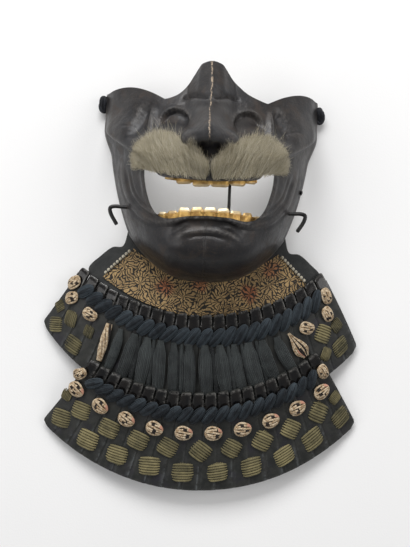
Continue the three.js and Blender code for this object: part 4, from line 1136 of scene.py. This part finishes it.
def make_end_cord(name, start, end, width, twisted, rng):
    """Cream braid at the end of the row of cords: twisted on the left, fanned out on the right."""
    path = cord_path(start, end, 1.8, 0.0, 0.0, -1.0)
    t = np.linspace(0, 1, len(path))
    lines = []
    if twisted:
        side = beside(path)
        body = 0.5 + 0.5 * np.sin(math.pi * np.clip(t * 0.9 + 0.08, 0, 1))
        for k in range(6):
            turn = 2 * math.pi * k / 6 + t * 3.2
            points = path + side * (np.cos(turn) * width * 0.40 * body)[:, None]
            points[:, 2] += np.sin(turn) * 1.5 * body
            lines.append((points, 0.75 + 0.25 * body, (0.5, 0.55, 0.12, 0.5, 0.6, 0.45)[k]))
    else:
        body = 0.25 + 1.1 * smoothstep(t, 0, 0.72) - 0.75 * smoothstep(t, 0.75, 1)
        for k, (points, girth, _) in enumerate(flat_band(path, width * 1.35, 1.6, body, 9, 0.5, rng)):
            tint = np.where((t > 0.62) & (3 < k < 7), 0.12 if k != 6 else 0.9, 0.12 if k in (2, 5) else 0.5)
            lines.append((points, girth * 0.95, tint))
    return strands(name, lines, 1.0 if twisted else 0.62, 6, MIXED_SILK)


def knot_lines(centre, across, down, normal, length, width, thick, turn, rng, pink, twist=0.0):
    """Oval knot: cream strands drawn together at both ends, black threads across them, a pink end."""
    turn = math.radians(turn)
    ax = across * math.cos(turn) - down * math.sin(turn)
    ay = across * math.sin(turn) + down * math.cos(turn)
    s = np.linspace(-1, 1, 11)
    # A thick black core under the strands: painted shade in the gaps between them.
    lines = [(centre + np.outer(s * length * 0.40, ax), 2.1 * np.sqrt(1.05 - s * s), 0.1)]

    def over(x, y, tint, girth, lift=0.0):
        inside = np.sqrt(np.clip(1 - x * x - y * y, 0.0, 1))
        flat = np.outer(x * length / 2, ax) + np.outer(y * width / 2, ay)
        lines.append((centre + flat + np.outer(thick * 0.55 * inside + lift, normal), girth, tint))

    for k in range(6):
        q = (k - 2.5) / 2.75
        y = q * np.sqrt(1.02 - 0.9 * s * s) + (twist + 0.14 * (-1) ** k) * s * (1 - s * s)
        base = rng.uniform(0.42, 0.6)
        black = hill(s - rng.uniform(-0.6, 0.6), 0.22) > 0.5
        tint = np.where(black & (k in (1, 3, 4)), 0.1, base)
        if pink:
            tint = np.where((s > 0.5) & (k < 2), 0.9, tint)
        over(s * (0.98 - 0.1 * q * q), y, tint, 0.70 + 0.3 * np.sqrt(1.01 - s * s))
    for lean, middle in ((0.5, -0.2), (-0.4, 0.15)):
        over(middle + s * 0.3 * math.cos(lean), s * 0.3 * math.sin(lean) - 0.1, 0.1, 0.3, 0.45)
    return lines


def make_knot(name, lame, share, row, axes, turn, seed, pink=True, twist=0.0):
    rng = np.random.default_rng(seed)
    across, down, normal = lame_frame(lame, share, row)
    centre = lame_point(lame, share, row, PLATE + SHINGLE + 1.3)
    return strands(name, knot_lines(centre, across, down, normal, *axes, turn, rng, pink, twist), 0.92, 6, MIXED_SILK)


# Laces at both ends of the lames: share, row, length and turn of each, for the left side.
EDGE_LACES = dict(upper=[(0.965, 0.253, 12.5, 80), (0.92, 0.427, 12, 68), (0.753, 0.416, 13, 25)],
                  lower=[(0.983, 0.238, 12, 78)])


def give(piece, slot, *nodes):
    """Hand a piece to the frame, in place of the solids named."""
    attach(piece, "root")
    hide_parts(*nodes)


def give_mask():
    give(make_mask(), "lacquered_iron", "face_plate")
    for name, sizes in TEETH.items():
        give(make_teeth(f"gilt_{name}_teeth", **sizes), "gilding", f"{name}_teeth")
    give(make_pin(), "hook_iron", "mouth_pin")
    for side, name in SIDES:
        give(make_moustache(f"moustache_{name}_hair", side), "hair", f"moustache_{name}")
        give(make_hook(f"bent_hook_{name}", side), "hook_iron", f"cord_hook_{name}")
        give(make_ear_cord(f"ear_knot_{name}", side), "tying_cord", f"ear_cord_{name}")
        give(make_edge_braid(f"edge_stitches_{name}", side), "edging", f"edge_braid_{name}")
    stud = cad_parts["cheek_stud"]
    stud.data.materials.clear()
    stud.data.materials.append(WIRE)


def give_lames():
    give(leather_sheet("smoked_backing", BACKING, 2.0, 0.0, SMOKED), "backing_leather", "throat_leather")
    give(leather_sheet("stencilled_panel", PRINTED, 1.0, 2.3, PRINT), "printed_leather", "printed_leather")
    for name, seed in (("upper", 5), ("lower", 6)):
        give(make_lame(f"{name}_scales", LAMES[name], seed), "black_lacquer", f"lame_{name}")
        give(make_rope(f"rope_{name}", LAMES[name], seed + 2), "blue_braid", f"rope_lacing_{name}")
    for name, table, seed in (("upper", WING_STITCHES, 9), ("lower", row_stitches(), 10)):
        give(make_stitches(f"cross_stitches_{name}", LAMES[name], table, seed), "mixed_braid")


def give_lacing():
    rng = np.random.default_rng(12)
    for i, (start, end, width, bow) in enumerate(CORDS, 1):
        if i in (1, len(CORDS)):
            cord, slot = make_end_cord(f"side_cord_{i:02d}", start, end, width, i == 1, rng), "mixed_braid"
        else:
            cord, slot = make_cord(f"braid_cord_{i:02d}", start, end, width, bow, rng), "blue_braid"
        give(cord, slot, f"suspension_cord_{i:02d}")
    for i, (start, end, width) in enumerate(PARTNERS, 1):
        give(make_cord(f"partner_cord_{i:02d}", start, end, width, 0.0, rng, 1.6), "blue_braid")
    for i in range(SCALES_EACH):
        share = ((2 * i - 9) * 1.025 - 0.31) / SCALES_EACH
        turn = -8 + rng.uniform(-6, 6)
        give(make_knot(f"knot_{i + 1:02d}", LAMES["lower"], share, 0.416, KNOT, turn, 30 + i), "mixed_braid",
             f"lacing_knot_{i + 1:02d}")
    for lame, laces in EDGE_LACES.items():
        for side, name in SIDES:
            made = [make_knot(f"edge_knot_{k}", LAMES[lame], side * share - 0.018, row, (length, *EDGE_KNOT),
                              -side * turn, 50 + k + 10 * side, False, 0.35)
                    for k, (share, row, length, turn) in enumerate(laces)]
            give(join(f"edge_knots_{lame}_{name}", *made), "mixed_braid", f"edge_lacing_{lame}_{name}")


# ------------------------------------------------------------------ stage

def floor_finish():
    made, n = material("pale_paper", rough=0.75, specular=0.2)
    n.colour(n.mix(n.noise(6.0, 3.0), (0.82, 0.82, 0.82), (0.86, 0.855, 0.85)))
    n.bump(n.noise(700.0, 3.0), 0.00008)
    return made


def at(x, y, z):
    """A point of the layout in the frame, in metres."""
    return tuple((np.array([x, y, z]) + SHIFT) * MM)


def set_stage():
    mesh = bpy.data.meshes.new("paper")
    half = 3
    mesh.from_pydata([(-half, -half, 0), (half, -half, 0), (half, half, 0), (-half, half, 0)], [], [(0, 1, 2, 3)])
    paper = new_piece("paper", mesh, floor_finish())
    paper.location.z = -0.0002
    camera = bpy.data.cameras.new("camera")
    camera.sensor_fit, camera.sensor_height = "VERTICAL", 36
    camera.lens = camera.sensor_height * EYE_HEIGHT / VIEW_HEIGHT
    eye = add_object("camera", camera)
    eye.location = (SHIFT[0] * MM, SHIFT[1] * MM, EYE_HEIGHT * MM)
    eye.rotation_euler = (0, 0, math.radians(VIEW_ROLL))
    scene = bpy.context.scene
    scene.camera = eye
    for name, place, aim, size, power, colour in (
            ("window", (-0.35, 1.7, 1.35), (0, 0, 0.02), (1.8, 1.0), 50, (1.0, 1.0, 1.0)),
            ("right", (1.5, 0.3, 1.2), (0, 0, 0.02), (1.0, 1.0), 10, (1.0, 0.98, 0.96)),
            ("left", (-1.5, -0.1, 1.2), (0, 0, 0.02), (1.0, 1.0), 8, (1.0, 0.99, 0.98)),
            ("behind_nose", at(0, 108, 36), at(0, 62, 0), (0.09, 0.03), 0.022, (1.0, 0.995, 0.98)),
            ("behind_chin", at(0, 16, 46), at(0, 58, 0), (0.08, 0.025), 0.012, (1.0, 0.99, 0.98))):
        light = bpy.data.lights.new(name, "AREA")
        light.shape, light.size, light.size_y, light.energy, light.color = "RECTANGLE", *size, power, colour
        lamp = add_object(name, light)
        lamp.location = place
        lamp.rotation_euler = (Vector(aim) - Vector(place)).to_track_quat("-Z", "Y").to_euler()
    world = bpy.data.worlds.new("room")
    world.use_nodes = True
    sky = world.node_tree.nodes["Background"].inputs
    sky["Color"].default_value, sky["Strength"].default_value = (0.97, 0.98, 1.0, 1), 0.3
    scene.world = world
    scene.view_settings.view_transform, scene.view_settings.look = "Standard", "None"


give_mask()
give_lames()
give_lacing()
set_stage()
